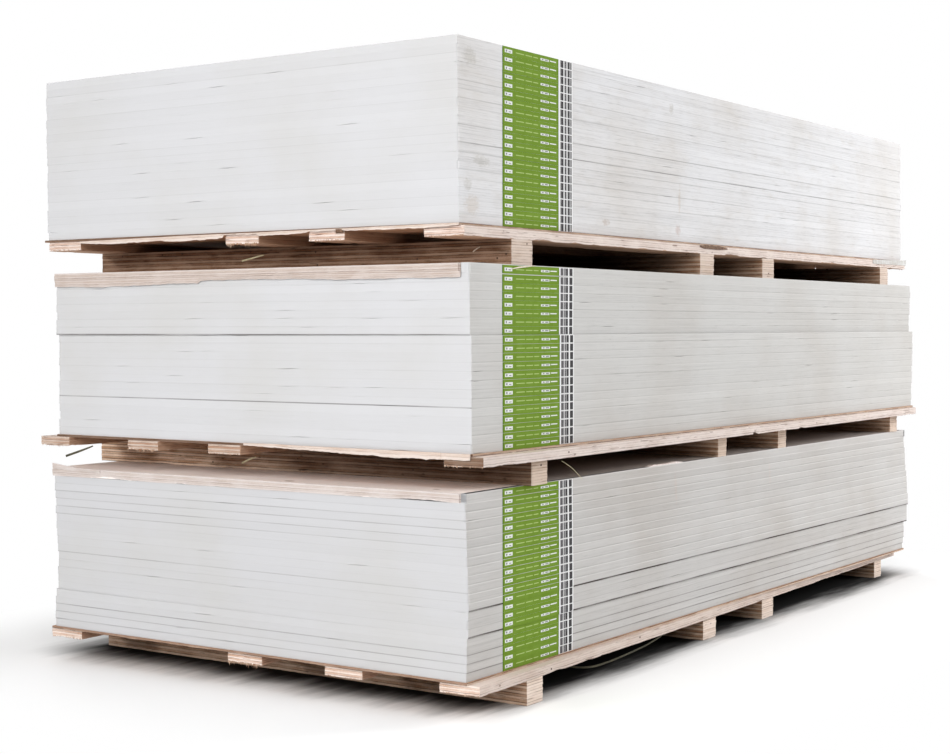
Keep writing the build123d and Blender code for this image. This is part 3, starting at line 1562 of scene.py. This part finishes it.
@dataclass
class RaggedSheet:
    """A plywood sheet with torn edges: the base under a pack, or the cover on it.

    A lip is given by its stops, each with a place across, its top and bottom, and how far it stands
    out, in millimetres.

    Attributes:
        node: The CAD node that it stands for.
        name: Name of the piece.
        slot: Name of its material slot; not used.
        finish: Its finish.
        plies: Number of its plies.
        tear: Size of the in-and-out of its edge.
        torn: Most that its lower edge is torn upwards.
        bites: Pieces torn out of it.
        near_lip: The torn lip that hangs from its near end.
        far_lip: The one at its far end.
    """

    node: str
    name: str
    slot: str
    finish: PlyFinish
    plies: int
    tear: float
    torn: float = 0.0
    bites: tuple[Bite, ...] = ()
    near_lip: Lip = ()
    far_lip: Lip = ()

    def build(self) -> bpy.types.Object:
        """Makes the sheet, with the torn lips that hang from its ends.

        Returns:
            The piece.
        """
        rings = ply_rings(self.plies, 0.2 * MM, self.tear, self.tear * 0.8)
        wear = Wear(9 * MM, rings, corner=4 * MM, torn=self.torn, bites=self.bites)
        pen = MeshPen()
        slab = read_slabs(self.node)[0]
        draw_slab(pen, slab, wear, len(self.node) * 11)
        for lip, far in ((self.near_lip, False), (self.far_lip, True)):
            if lip:
                self.draw_lip(pen, slab, lip, far)
        return stand_in(pen.write(self.name, self.finish.materials()), self.node)

    def draw_lip(self, pen: MeshPen, slab: Slab, lip: Lip, far: bool) -> None:
        """Draws a torn lip.

        Args:
            pen: Takes the mesh.
            slab: The sheet.
            lip: Its stops.
            far: True for the sheet's far end.
        """
        seed, thick = len(self.name), LIP_THICKNESS / MM
        across = lip[0][0]
        sections = []
        while across <= lip[-1][0]:
            after = next(index for index, stop in enumerate(lip) if stop[0] >= across)
            low, high = lip[max(after - 1, 0)], lip[after]
            share = (across - low[0]) / (high[0] - low[0]) if high[0] > low[0] else 0.0
            top, bottom, out = (low[item] + (high[item] - low[item]) * share for item in (1, 2, 3))
            bottom += 1.1 * ripple(seed, across, 9.0) + 1.4 * ripple(seed + 2.0, across, 37.0)
            curl = 0.25 * (top - bottom) * ripple(seed + 4.0, across, 60.0)
            hem = min(bottom, top - 1.0)
            corners = ((-out, top), (-out - curl, hem), (thick * 0.5 - out - curl, hem), (thick - out, top))
            if far:
                corners = tuple((slab.length / MM - along, up) for along, up in reversed(corners))
            sections.append([slab.at(along * MM, across * MM, up * MM) for along, up in corners])
            across += LIP_STEP
        pen.tube(sections, (0.95, 0.05, 0.05, 0.95), Face.LIP.value)


RIBBON_PARTS = 8  # sections between two points of a ribbon


@dataclass(frozen=True)
class Ribbon:
    """A scrap of flat strap or a fibre, along points given from the datum corner in millimetres.

    Attributes:
        name: Name of the piece.
        points: The points that it passes.
        width: Its width at each point, in millimetres.
        thickness: Its thickness, in millimetres.
        flat: Direction of its width.
    """

    name: str
    points: tuple[Triple, ...]
    width: tuple[float, ...]
    thickness: float
    flat: Triple = (0, 0, 1)

    def build(self, material: bpy.types.Material) -> bpy.types.Object:
        """Makes the ribbon as a closed strand through a smooth run of its points.

        Args:
            material: Its material.

        Returns:
            The piece.
        """
        places = [beside_datum(*point) for point in self.points]
        flat = Vector(self.flat)
        sections = []
        last = len(places) - 1
        for index in range(last):
            before, start = places[max(index - 1, 0)], places[index]
            end, after = places[index + 1], places[min(index + 2, last)]
            for part in range(RIBBON_PARTS + (index == last - 1)):
                share = part / RIBBON_PARTS
                middle = 0.5 * (
                    2 * start + (end - before) * share + (2 * before - 5 * start + 4 * end - after) * share**2
                    + (3 * start - before - 3 * end + after) * share**3
                )
                way = (end - start).normalized()
                aside = (flat - way * way.dot(flat)).normalized()
                width = self.width[index] + (self.width[index + 1] - self.width[index]) * share
                half, thick = aside * width * MM / 2, aside.cross(way) * self.thickness * MM / 2
                sections.append([
                    middle - half - thick, middle + half - thick, middle + half + thick, middle - half + thick,
                ])
        pen = MeshPen()
        pen.tube(sections)
        return loose(pen.write(self.name, [material]))


@dataclass(frozen=True)
class Scrap:
    """A torn scrap lying on the stack: a bar of rectangular sections with a ragged upper side.

    Attributes:
        name: Name of the piece.
        sections: Its sections, each with x, the two sides in y, and the bottom and top in z, in
            millimetres from the datum corner.
        ragged: How ragged its upper side is, in millimetres.
        step: Spacing of its sections, in millimetres.
    """

    name: str
    sections: tuple[tuple[float, float, float, float, float], ...]
    ragged: float
    step: float = 5.0

    def build(self, material: bpy.types.Material) -> bpy.types.Object:
        """Makes the scrap.

        Args:
            material: Its material.

        Returns:
            The piece.
        """
        rows = []
        for before, after in zip(self.sections, self.sections[1:]):
            parts = max(1, round(abs(after[0] - before[0]) / self.step))
            for part in range(parts):
                rows.append([low + (high - low) * (part / parts) for low, high in zip(before, after)])
        rows.append(list(self.sections[-1]))
        sections = []
        for x, left, right, low, high in rows:
            rise = self.ragged * (0.5 + 0.8 * ripple(len(self.name), x, 11.0))
            near = left + 0.4 * self.ragged * ripple(len(self.name) + 3.0, x, 23.0)
            top = max(high + rise, low + 0.4)
            corners = ((right, low), (near, low), (near, top), (right, top))
            sections.append([beside_datum(x, y, z) for y, z in corners])
        pen = MeshPen()
        pen.tube(sections)
        return loose(pen.write(self.name, [material]))


# Nail heads, in millimetres: across and up on a stringer's near-end side, or along and up on a near side
END_NAILS = (
    (
        "stringer_upper_1",
        ((36, 15), (244, 18), (523, 11), (528, 41), (14, 23), (1141, 46), (1006, 46), (940, 47), (723, 47)),
    ),
    ("stringer_middle_1", ((96, 44), (310, 20), (640, 31), (905, 12))),
    ("stringer_lower_1", ((88, 30), (420, 38), (790, 26))),
)
SIDE_NAILS = (
    ("stringer_upper_3", 40, 14), ("stringer_upper_1", 60, 46), ("stringer_middle_1", 38, 42),
    ("deck_strip_lower_1", 285, 9), ("deck_strip_lower_1", 700, 13), ("deck_strip_middle_1", 330, 12),
)


@dataclass(frozen=True)
class NailHeads:
    """Nail heads on the stringers' sides, and a few on the near side.

    Attributes:
        radius: Radius of a head.
        depth: Its depth.
        sunk: How far its middle lies inside the wood.
    """

    radius: float = 2.0 * MM
    depth: float = 0.8 * MM
    sunk: float = 0.2 * MM

    def build(self, tree: Growth) -> bpy.types.Object:
        """Sets the heads on the near-end sides of the stringers, and the few on the near side.

        Args:
            tree: Tree that sets the heads.

        Returns:
            The heads, as one piece.
        """
        marks = Marks("turn")
        for node, spots in END_NAILS:
            slab = read_slabs(node)[0]
            for across, up in spots:
                marks.add(slab.at(self.sunk, across * MM, up * MM), -math.pi / 2)
        for node, along, up in SIDE_NAILS:
            marks.add(read_slabs(node)[0].at(along * MM, self.sunk, up * MM), 0.0)
        finish = PlainFinish("nail_steel", srgb(62, 48, 40), srgb(96, 72, 56), 220.0, 0.55, 0.3)
        sizes = {"Radius": self.radius, "Depth": self.depth, "Seed": 3, "Material": finish.material()}
        return tree.grow("nail_heads", marks, sizes)


@dataclass(frozen=True)
class Studio:
    """Floor, lights and camera.

    Attributes:
        eye: Place of the camera.
        yaw: Its turn from +X, in radians.
        pitch: How far it looks down, in radians.
        roll: How far it is tipped sideways, in radians.
        focal_pixels: Its focal length, in the photograph's pixels.
        frame_pixels: Width of the photograph.
        sensor: Width of its sensor, in millimetres.
        sky_all: Strength of the sky all round.
        sky_front: How much stronger it is at the front.
        floor_radius: Radius of the floor.
    """

    eye: Triple = (-4.050402, -2.545265, 0.796432)
    yaw: float = 0.596710
    pitch: float = 0.029278
    roll: float = 0.002035
    focal_pixels: float = 1697.481
    frame_pixels: float = 950.0
    sensor: float = 36.0
    sky_all: float = 0.06
    sky_front: float = 0.171
    floor_radius: float = 6.5

    def camera(self) -> None:
        """Sets the camera where the photograph was taken from."""
        forward = Vector((
            math.cos(self.yaw) * math.cos(self.pitch),
            math.sin(self.yaw) * math.cos(self.pitch),
            -math.sin(self.pitch),
        ))
        right = Vector((math.sin(self.yaw), -math.cos(self.yaw), 0.0))
        down = forward.cross(right)
        turned_right = right * math.cos(self.roll) + down * math.sin(self.roll)
        turned_down = down * math.cos(self.roll) - right * math.sin(self.roll)
        data = bpy.data.cameras.new("camera")
        data.sensor_width = self.sensor
        data.lens = self.sensor * self.focal_pixels / self.frame_pixels
        data.clip_end = 200.0
        camera = link_object("camera", data)
        axes = Matrix((turned_right, -turned_down, -forward)).transposed()
        camera.matrix_world = Matrix.Translation(self.eye) @ axes.to_4x4()
        bpy.context.scene.camera = camera

    def floor(self) -> None:
        """Lays a plain white floor with a painted contact shadow under the stack, that fades out into the backdrop."""
        pen = MeshPen()
        turns = 96
        angles = [2 * math.pi * index / turns for index in range(turns)]
        rim = [Vector((math.cos(angle), math.sin(angle), 0.0)) * self.floor_radius for angle in angles]
        pen.face([pen.point(place) for place in rim], [(0.0, 0.0)] * turns)
        shader = Shader("studio_floor")
        colour = shader.mix(shader.grain(EVEN, 0.7, 2.0), srgb(250, 250, 250), srgb(252, 252, 252))
        x, y, _ = shader.split(shader.place())
        # Painted contact shadow: a dark, streaky patch under and around the stack.
        streaks = shader.grain((2.2, 14.0, 1.0), 1.0, 4.0, 0.6)
        ragged_x, ragged_y = (shader.math("MULTIPLY_ADD", streaks, 0.12, way - 0.06) for way in (x, y))
        shade = shader.ramp(ragged_x, -1.27, -1.07) * shader.ramp(ragged_x, 1.42, 1.10)
        shade = shade * shader.ramp(ragged_y, -0.69, -0.56) * shader.ramp(ragged_y, 0.76, 0.58)
        shader.finish(shader.mix(shade, colour, srgb(16, 16, 16)), 0.9, 0.1)
        beyond = shader.math(
            "MAXIMUM", shader.math("ABSOLUTE", x) - 1.26, shader.math("ABSOLUTE", y) - 0.67
        )
        blend = shader.node("ShaderNodeMixShader", {"Fac": shader.ramp(beyond, 0.08, 0.55)})
        shader.links.new(shader.bsdf.outputs["BSDF"], blend.inputs[1])
        shader.links.new(shader.white_glow(), blend.inputs[2])
        shader.show(blend.outputs["Shader"])
        pen.write("studio_floor", [shader.material])

    def backdrop(self) -> None:
        """Hangs a plain white backdrop all round, which sheds no light on the stack."""
        shape = bmesh.new()
        bmesh.ops.create_uvsphere(shape, u_segments=48, v_segments=24, radius=60.0)
        mesh = bpy.data.meshes.new("studio_backdrop")
        shape.to_mesh(mesh)
        shape.free()
        shader = Shader("studio_backdrop")
        shader.show(shader.white_glow())
        mesh.materials.append(shader.material)
        drop = link_object("studio_backdrop", mesh)
        drop.visible_diffuse = drop.visible_glossy = drop.visible_shadow = drop.visible_transmission = False

    def sky(self) -> None:
        """Lights the stack with a soft sky, stronger on the two sides that the camera sees."""
        world = bpy.data.worlds.new("studio_sky")
        world.use_nodes = True
        nodes, links = world.node_tree.nodes, world.node_tree.links
        background = nodes["Background"]
        background.inputs["Color"].default_value = WHITE
        way = nodes.new("ShaderNodeTexCoord")
        facing = nodes.new("ShaderNodeVectorMath")
        facing.operation = "DOT_PRODUCT"
        facing.inputs[1].default_value = Vector((-1.0, -0.15, 0.3)).normalized()
        share = nodes.new("ShaderNodeMapRange")
        share.inputs["From Min"].default_value = 0.0
        share.inputs["From Max"].default_value = 1.0
        share.inputs["To Min"].default_value = self.sky_all
        share.inputs["To Max"].default_value = self.sky_all + self.sky_front
        links.new(way.outputs["Generated"], facing.inputs[0])
        links.new(facing.outputs["Value"], share.inputs["Value"])
        links.new(share.outputs["Result"], background.inputs["Strength"])
        bpy.context.scene.world = world

    def panels(self) -> None:
        """Sets the large soft panels."""
        for name, place, aim, size, power in (
            ("corner_panel", (-4.2, -3.2, 2.6), (-1.25, -0.55, 0.8), 2.0, 78.0),
            ("left_panel", (-6.0, -0.6, 3.0), (-1.2, 0.0, 0.6), 2.4, 130.0),
            ("low_window", (-12.15, 4.21, 3.09), (-1.2, 0.0, 0.6), 1.6, 430.0),
            ("right_panel", (4.6, -4.2, 2.4), (1.2, -0.6, 0.7), 2.4, 332.0),
            ("back_panel", (3.0, 5.5, 6.0), (0.3, 0.6, 0.8), 3.0, 90.0),
            ("top_panel", (0.0, 0.0, 7.5), (0.0, 0.0, 0.0), 9.0, 299.0),
        ):
            data = bpy.data.lights.new(name, "AREA")
            data.energy = power
            data.size = size
            lamp = link_object(name, data)
            way = Vector(aim) - Vector(place)
            lamp.matrix_world = Matrix.Translation(place) @ way.to_track_quat("-Z", "Y").to_matrix().to_4x4()
            lamp.visible_camera = False

    def build(self) -> None:
        """Makes the studio."""
        for step in (self.camera, self.floor, self.backdrop, self.sky, self.panels):
            step()
        bpy.context.scene.view_settings.view_transform = "Standard"


class Bit(Enum):
    """Finishes of the small things, as the name, two tones, cloud scale and roughness of each."""

    OLIVE = ("dull_olive_strap", srgb(58, 55, 38), srgb(84, 79, 56), 90.0, 0.6)
    PALE_OLIVE = ("pale_olive_strap", srgb(176, 168, 132), srgb(206, 196, 160), 120.0, 0.6)
    CREAM = ("cream_fibre", srgb(232, 222, 206), srgb(206, 190, 170), 200.0, 0.8)
    TORN_BOARD = ("torn_board_bits", srgb(214, 200, 194), srgb(236, 228, 224), 160.0, 0.85)
    OFFCUT = ("white_offcut", srgb(196, 196, 194), srgb(178, 174, 168), 70.0, 0.75)
    TORN_WOOD = ("torn_brown_wood", srgb(124, 97, 78), srgb(84, 60, 45), 170.0, 0.85)


STREWN = (
    (Bit.OLIVE, Ribbon(
        "strap_scrap_lower", ((25, 1189, 488), (25, 1140, 502), (25, 1096, 515.5)), (5.5, 5.0, 3.0), 1.2,
    )),
    (Bit.PALE_OLIVE, Ribbon(
        "strap_scrap_lower_near", ((115, 704, 486), (115, 682, 495), (115, 661, 501.6)), (3.4, 3.2, 2.2), 1.0,
    )),
    (Bit.PALE_OLIVE, Ribbon(
        "strap_scrap_upper", ((95, 682, 948), (95, 649, 954), (95, 616, 960)), (3.4, 3.2, 2.2), 1.0,
    )),
    (Bit.CREAM, Ribbon(
        "fibre_on_stringer", ((171.6, 99.8, 955.7), (171.2, 91, 961.5), (171.6, 81.9, 965.7)), (2.2, 2.6, 1.6), 0.8,
    )),
    (Bit.OLIVE, Ribbon(
        "strap_loop_under_lower",
        (
            (452, 150, 36), (492, 70, 25), (530, 36, 19), (592, 28, 17), (701, 28, 20.5), (830, 30, 29),
            (923, 34, 41.7), (990, 40, 53),
        ),
        (3.5, 4.0, 4.5, 4.5, 4.5, 4.0, 4.0, 3.5), 1.0,
    )),
    (Bit.PALE_OLIVE, Ribbon(
        "thread_under_middle", ((361, -5, 504.5), (404, -5, 486), (443, -8, 459)), (1.0, 1.0, 0.8), 0.7, (1, 0, 0),
    )),
    (Bit.CREAM, Ribbon(
        "torn_label_fibre", ((148, -14, 917), (176, -15, 921), (210, -14.5, 924), (237, -14, 926)),
        (1.4, 3.4, 2.6, 1.0), 0.8,
    )),
    (Bit.TORN_BOARD, Scrap(
        "torn_bits_on_strip",
        (
            (772, 2, 14, 462.2, 462.6), (800, 2, 14, 462.2, 465.0), (850, 3, 14, 462.2, 463.4),
            (910, 2, 13, 462.2, 465.6), (948, 3, 12, 462.2, 462.8),
        ),
        1.4,
    )),
    (Bit.OFFCUT, Scrap(
        "white_offcut_on_strip",
        ((2219, 1.5, 3.6, 990.0, 1002.5), (2360, 1.5, 3.6, 991.0, 1004.5), (2503, 1.5, 3.6, 992.0, 1008.0)),
        0.6, 12.0,
    )),
    (Bit.TORN_WOOD, Scrap(
        "torn_patch_on_strip",
        (
            (1041, 1.6, 3.4, 997.0, 998.5), (1070, 0.8, 3.6, 993.5, 1001.0), (1150, 0.8, 3.6, 993.0, 1001.0),
            (1195, 1.8, 3.4, 995.5, 997.0),
        ),
        2.4,
    )),
    (Bit.TORN_WOOD, Scrap("torn_knot_on_base", ((-7, 312, 328, 997, 1002), (-2, 310, 330, 995, 1003)), 1.5, 2.0)),
)


@dataclass(frozen=True)
class Strewn:
    """The small things on the stack: strap scraps, fibres, torn bits, an offcut and nail heads.

    Attributes:
        things: Each scrap or ribbon with its finish.
    """

    things: tuple[tuple[Bit, Ribbon | Scrap], ...] = STREWN

    def build(self) -> list[bpy.types.Object]:
        """Makes them.

        Returns:
            The pieces.
        """
        materials = {bit: PlainFinish(*bit.value).material() for bit in Bit}
        pieces = [thing.build(materials[bit]) for bit, thing in self.things]
        return [*pieces, NailHeads().build(nail_tree())]


def board_packs() -> tuple[BoardPack, ...]:
    """Gathers the three packs with their finishes.

    Returns:
        The packs, from the floor up.
    """
    end = BoardFinish("board_short_edge", srgb(191, 191, 193), srgb(184, 182, 177), 0.4, 0.9, 0.04)
    high_end = replace(end, name="board_short_edge_high", tone=srgb(195, 195, 197))
    face = BoardFinish("board_face", srgb(193, 193, 195), srgb(182, 177, 170), 0.4, 0.0, 0.03)
    grey, beige = srgb(176, 172, 164), srgb(190, 174, 156)
    high_stains = (
        Stain(-0.656, 1.037, 0.018, 0.009, srgb(168, 146, 128), 0.45),
        Stain(-0.299, 1.035, 0.014, 0.015, srgb(182, 156, 146), 0.5),
        Stain(-0.289, 1.110, 0.007, 0.036, beige, 0.4),
        Stain(-1.205, 1.345, 0.026, 0.020, grey, 0.5),
        Stain(-1.165, 1.135, 0.034, 0.012, grey, 0.45),
        Stain(-1.215, 1.085, 0.016, 0.014, grey, 0.5),
        Stain(-1.200, 1.045, 0.030, 0.022, beige, 0.4),
        Stain(-0.330, 1.330, 0.012, 0.014, grey, 0.5),
    )
    low_stains = (
        Stain(-0.905, 0.400, 0.008, 0.034, srgb(170, 150, 138), 0.3),
        Stain(-0.340, 0.400, 0.007, 0.040, srgb(196, 176, 166), 0.35),
        Stain(0.210, 0.400, 0.006, 0.042, srgb(204, 188, 180), 0.35),
    )
    # Each pack's long edges have their own tone, lighter on the top pack and darker lower down, and the lowest pack's
    # short ends are a little darker: painted light and shade on copies of one board.
    low_long, middle_long, high_long = (
        BoardFinish(f"board_long_edge_{level.value}", tone, dust, 0.5, *strengths)
        for level, tone, dust, *strengths in (
            (Level.LOWER, srgb(195, 193, 191), srgb(177, 170, 163), 0.95, 0.14, 0.0, 0.34, 8.0, 0.09, low_stains),
            (Level.MIDDLE, srgb(199, 198, 196), srgb(186, 181, 175), 0.9, 0.13, 0.1, 0.12, 0.0, 0.06),
            (Level.UPPER, srgb(219, 219, 221), srgb(199, 193, 186), 0.9, 0.2, 0.3, 0.0, 0.0, 0.05, high_stains),
        )
    )
    return (
        BoardPack(
            Level.LOWER, 1093.4 * MM, low_long, end, face, LabelPrint("label_print_lower", BarLayout.ONE_BLOCK), True,
            {1: 0.35, 2: 0.35, 3: 0.45, 10: 0.3, 15: 0.25, 16: 0.3, 17: 0.3, 18: 0.3},
            {1: 0.5, 2: 0.5, 3: 0.5, 4: 0.2, 5: 1.0, 6: 0.15, 7: 0.15, 8: 1.0},
        ),
        BoardPack(
            Level.MIDDLE, 1095.4 * MM, middle_long, high_end, face,
            LabelPrint("label_print_middle", BarLayout.ONE_BLOCK), True, {5: 0.6, 13: 0.75}, {},
        ),
        BoardPack(
            Level.UPPER, 1094.9 * MM, high_long, high_end, face,
            LabelPrint("label_print_upper", BarLayout.TWO_GROUPS), False, {}, {8: 0.12, 9: 0.6, 11: 0.45},
        ),
    )


def strip_finishes() -> dict[Level, PlyFinish]:
    """Gathers the finishes of the deck strips.

    Returns:
        The finish of each pallet's strips.
    """
    pale_face = PlyFace(srgb(218, 202, 192), srgb(200, 180, 168), False)
    # The top pallet's strips show their undersides: a darker, browner face as painted shade.
    shaded_underside_face = PlyFace(srgb(196, 164, 140), srgb(162, 126, 100), False)
    long_glue, end_glue = srgb(104, 74, 58), srgb(84, 52, 35)
    # The inner strips' long edges take painted shade inward from the near side; the middle pallet's near strip end
    # takes painted shade too.
    return {
        level: PlyFinish(
            f"strip_ply_{level.value}",
            PlyEdge(*long_tones, long_glue, 4, 0.35, 0.55, 0.6, painted_shade=PaintedShade(-0.60, -0.50, shade)),
            PlyEdge(*end_tones, end_glue, 5, 0.6, 0.8, knots, painted_shade=end_shade),
            face,
        )
        for level, long_tones, end_tones, knots, shade, end_shade, face in (
            (
                Level.LOWER, (srgb(212, 198, 189), srgb(190, 168, 155)), (srgb(228, 214, 204), srgb(198, 161, 137)),
                0.45, srgb(226, 198, 178), None, pale_face,
            ),
            (
                Level.MIDDLE, (srgb(218, 206, 199), srgb(198, 180, 171)), (srgb(196, 179, 166), srgb(166, 130, 107)),
                0.45, srgb(214, 186, 162), PaintedShade(-0.50, -0.56, srgb(182, 170, 160)), pale_face,
            ),
            (
                Level.UPPER, (srgb(222, 209, 201), srgb(202, 182, 172)), (srgb(224, 209, 200), srgb(188, 153, 132)),
                0.8, srgb(190, 162, 138), None, shaded_underside_face,
            ),
        )
    }


def timbers() -> list[Timber]:
    """Gathers the three pallets with their finishes and torn places.

    Returns:
        The pallets, from the floor up.
    """
    strips = strip_finishes()
    side = PlyEdge(srgb(206, 180, 158), srgb(152, 114, 86), srgb(64, 40, 25), 9, 0.7, 0.85, 0.5)
    # Inner stringers' sides: painted shade, darker deeper in the gaps.
    gap_shaded_side = replace(side, painted_shade=PaintedShade(-0.60, -0.30, srgb(111, 104, 98)))
    # The middle pallet's first stringer: a lighter tone as painted light, with painted shade towards the near side.
    lit_shaded_middle_side = PlyEdge(
        srgb(238, 212, 190), srgb(180, 140, 108), srgb(70, 44, 28), 9, 0.75, 0.9, 0.5,
        painted_shade=PaintedShade(0.50, -0.35, srgb(134, 126, 120)),
    )
    # The top pallet's first stringer: a darker copy of the side, as painted shade.
    shaded_upper_side = PlyEdge(srgb(170, 143, 122), srgb(120, 86, 62), srgb(46, 28, 18), 9, 0.7, 0.85, 0.5)
    face = PlyFace(srgb(196, 160, 134), srgb(160, 120, 92), True)
    fringe = splinter_tree()
    pallets = []
    for level, light, dark, first_side, *bites in (
        (Level.LOWER, srgb(232, 216, 204), srgb(214, 192, 174), side),
        (
            Level.MIDDLE, srgb(208, 190, 175), srgb(188, 165, 146), lit_shaded_middle_side,
            Bite(Side.NEAR, 1266 * MM, 26 * MM, 5 * MM, 6 * MM, False),
        ),
        (
            Level.UPPER, srgb(212, 196, 184), srgb(196, 174, 156), shaded_upper_side,
            Bite(Side.NEAR, 1041 * MM, 159 * MM, 3 * MM, 5 * MM),
            Bite(Side.NEAR, 1183 * MM, 89 * MM, 4 * MM, 4 * MM, False),
            Bite(Side.NEAR, 1890 * MM, 26 * MM, 4 * MM, 4 * MM, False),
        ),
    ):
        end = PlyEdge(light, dark, srgb(120, 84, 62), 9, 0.3, 0.6, 0.45)
        first = PlyFinish(f"stringer_ply_first_{level.value}", end, first_side, face)
        inner = PlyFinish(f"stringer_ply_inner_{level.value}", end, gap_shaded_side, face)
        pallets.append(Timber(level, first, inner, strips[level], tuple(bites), fringe))
    return pallets


FAR_LIP = ((88, 3, -2, 1.2), (100, 3, -18, 1.2), (180, 3, -22, 1.2), (290, 3, -21, 1.2), (306, 3, -4, 1.2))
CURLED_LIP = ((1030, 20, 14, 0.8), (1090, 21, 13, 0.8), (1140, 25, 15, 1.4), (1192, 31, 17, 2.4))
MIDDLE_LIP = (
    (2, 5.7, -7.1, 7.5), (73, 5.8, -7.7, 7.5), (78, 5.8, -7.9, 2), (108, 5.8, -8.3, 2), (113, 5.8, -11, 2),
    (120, 5.8, -7.9, 2), (231, 5.9, -8.9, 2), (249, 5.9, -5.4, 2), (276, 6, -7.9, 2), (373, 6.1, -3.8, 2),
    (449, 6.1, -3.1, 2), (520, 7, -1, 2), (612, 6, 1, 2),
)
UPPER_LIP = tuple((across, top, bottom, 1.2) for across, top, bottom in (
    (2, 4.7, -0.3), (90, 4.2, -3.5), (176, 3.8, -3), (290, 3.1, -1.5), (300, 3.1, -1), (394, 3, -1), (400, 3, -3),
    (443, 2.9, -4.6), (530, 2.4, -5), (538, 2.2, -1), (634, 2.2, -1), (638, 2.4, -6.5), (688, 2.4, -9),
    (779, 1.9, -9.5), (813, 1.4, -9.2), (821, 1.2, -7.4), (916, 0.6, -7.6), (948, 0, -9.6), (1058, -0.6, -8),
    (1091, -1, -4.8),
))
COVER_LIP = tuple((across, 3, bottom, 1.2) for across, bottom in (
    (-2, -8.7), (177, -7.8), (308, -7.6), (416, -4.7), (610, -3.1), (707, -3.2), (712, -8.5), (750, -8.9),
    (822, -9.6), (950, -12.5), (1021, -13.4), (1180, -10.9),
))


def ragged_sheets() -> list[RaggedSheet]:
    """Gathers the base sheets and the cover sheets, with their finishes and torn lips.

    Returns:
        The sheets.
    """
    base_face = PlyFace(srgb(190, 152, 124), srgb(150, 108, 80), True)
    base_long = PlyEdge(srgb(206, 186, 170), srgb(170, 130, 100), srgb(74, 44, 30), 2, 0.4, 0.4, 0.3)
    # The bases' short ends are darkened as painted shade: the middle and top ones in full, the lowest one less, with a
    # painted shadow line along its foot.
    dark_short = PlyEdge(srgb(126, 102, 86), srgb(98, 74, 58), srgb(52, 34, 24), 2, 0.5, 0.5, 0.2)
    gap_shaded_short = PlyEdge(srgb(168, 142, 124), srgb(136, 104, 82), srgb(66, 42, 28), 2, 0.5, 0.5, 0.3, foot=0.95)
    torn_lip = PlyEdge(srgb(212, 199, 190), srgb(190, 166, 149), srgb(96, 66, 48), 2, 0.5, 0.5, 0.25)
    # crest and foot lay painted shadow lines along the gaps above and below the bases' long edges.
    lower = PlyFinish("base_ply_lower", replace(base_long, crest=0.9), gap_shaded_short, base_face)
    middle = PlyFinish("base_ply_middle", replace(base_long, foot=0.95), dark_short, base_face, torn_lip)
    upper = PlyFinish("base_ply_upper", replace(base_long, crest=0.8, foot=0.3), dark_short, base_face, torn_lip)
    # Cover tops: a nearly white tone as painted light on their tops, with painted shade inside the gap under the pack
    # above.
    cover_face = PlyFace(srgb(250, 243, 239), srgb(240, 228, 221), True, 0.6)
    cover_low, cover_high = (
        PlyFinish(name, edge, edge, cover_face, edge)
        for name, edge in (
            (
                "cover_ply_lower",
                PlyEdge(srgb(204, 195, 191), srgb(186, 170, 160), srgb(128, 102, 88), 5, 0.4, 0.5, 0.15),
            ),
            (
                "cover_ply_middle",
                PlyEdge(srgb(198, 187, 181), srgb(180, 163, 152), srgb(120, 92, 76), 5, 0.5, 0.6, 0.15),
            ),
        )
    )
    torn_away = (Bite(Side.NEAR, 1046 * MM, 159 * MM, 2 * MM, 0.0),)
    return [
        RaggedSheet(f"{kind}_sheet_{level}", f"torn_{kind}_{level}", f"{kind}_plywood", finish, plies, tear, **damage)
        for kind, level, finish, plies, tear, damage in (
            ("base", "lower", lower, 2, 1.2 * MM, {}),
            ("base", "middle", middle, 2, 1.2 * MM, {"near_lip": MIDDLE_LIP}),
            ("base", "upper", upper, 2, 1.2 * MM, {"bites": torn_away, "near_lip": UPPER_LIP, "far_lip": FAR_LIP}),
            ("cover", "lower", cover_low, 5, 1.0 * MM, {"torn": 6 * MM, "near_lip": CURLED_LIP}),
            ("cover", "middle", cover_high, 5, 1.0 * MM, {"near_lip": COVER_LIP}),
        )
    ]


def main() -> None:
    """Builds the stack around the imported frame, and its studio."""
    logging.basicConfig(level=logging.INFO, format="%(name)s: %(message)s")
    Studio().build()
    label_run = label_tree()
    for pack in board_packs():
        for piece in pack.build(label_run):
            log.info("made %s", piece.name)
    for pallet in timbers():
        for piece in pallet.build():
            log.info("made %s", piece.name)
    for sheet in ragged_sheets():
        log.info("made %s", sheet.build().name)
    for piece in Strewn().build():
        log.info("made %s", piece.name)


if __name__ == "__main__":
    main()
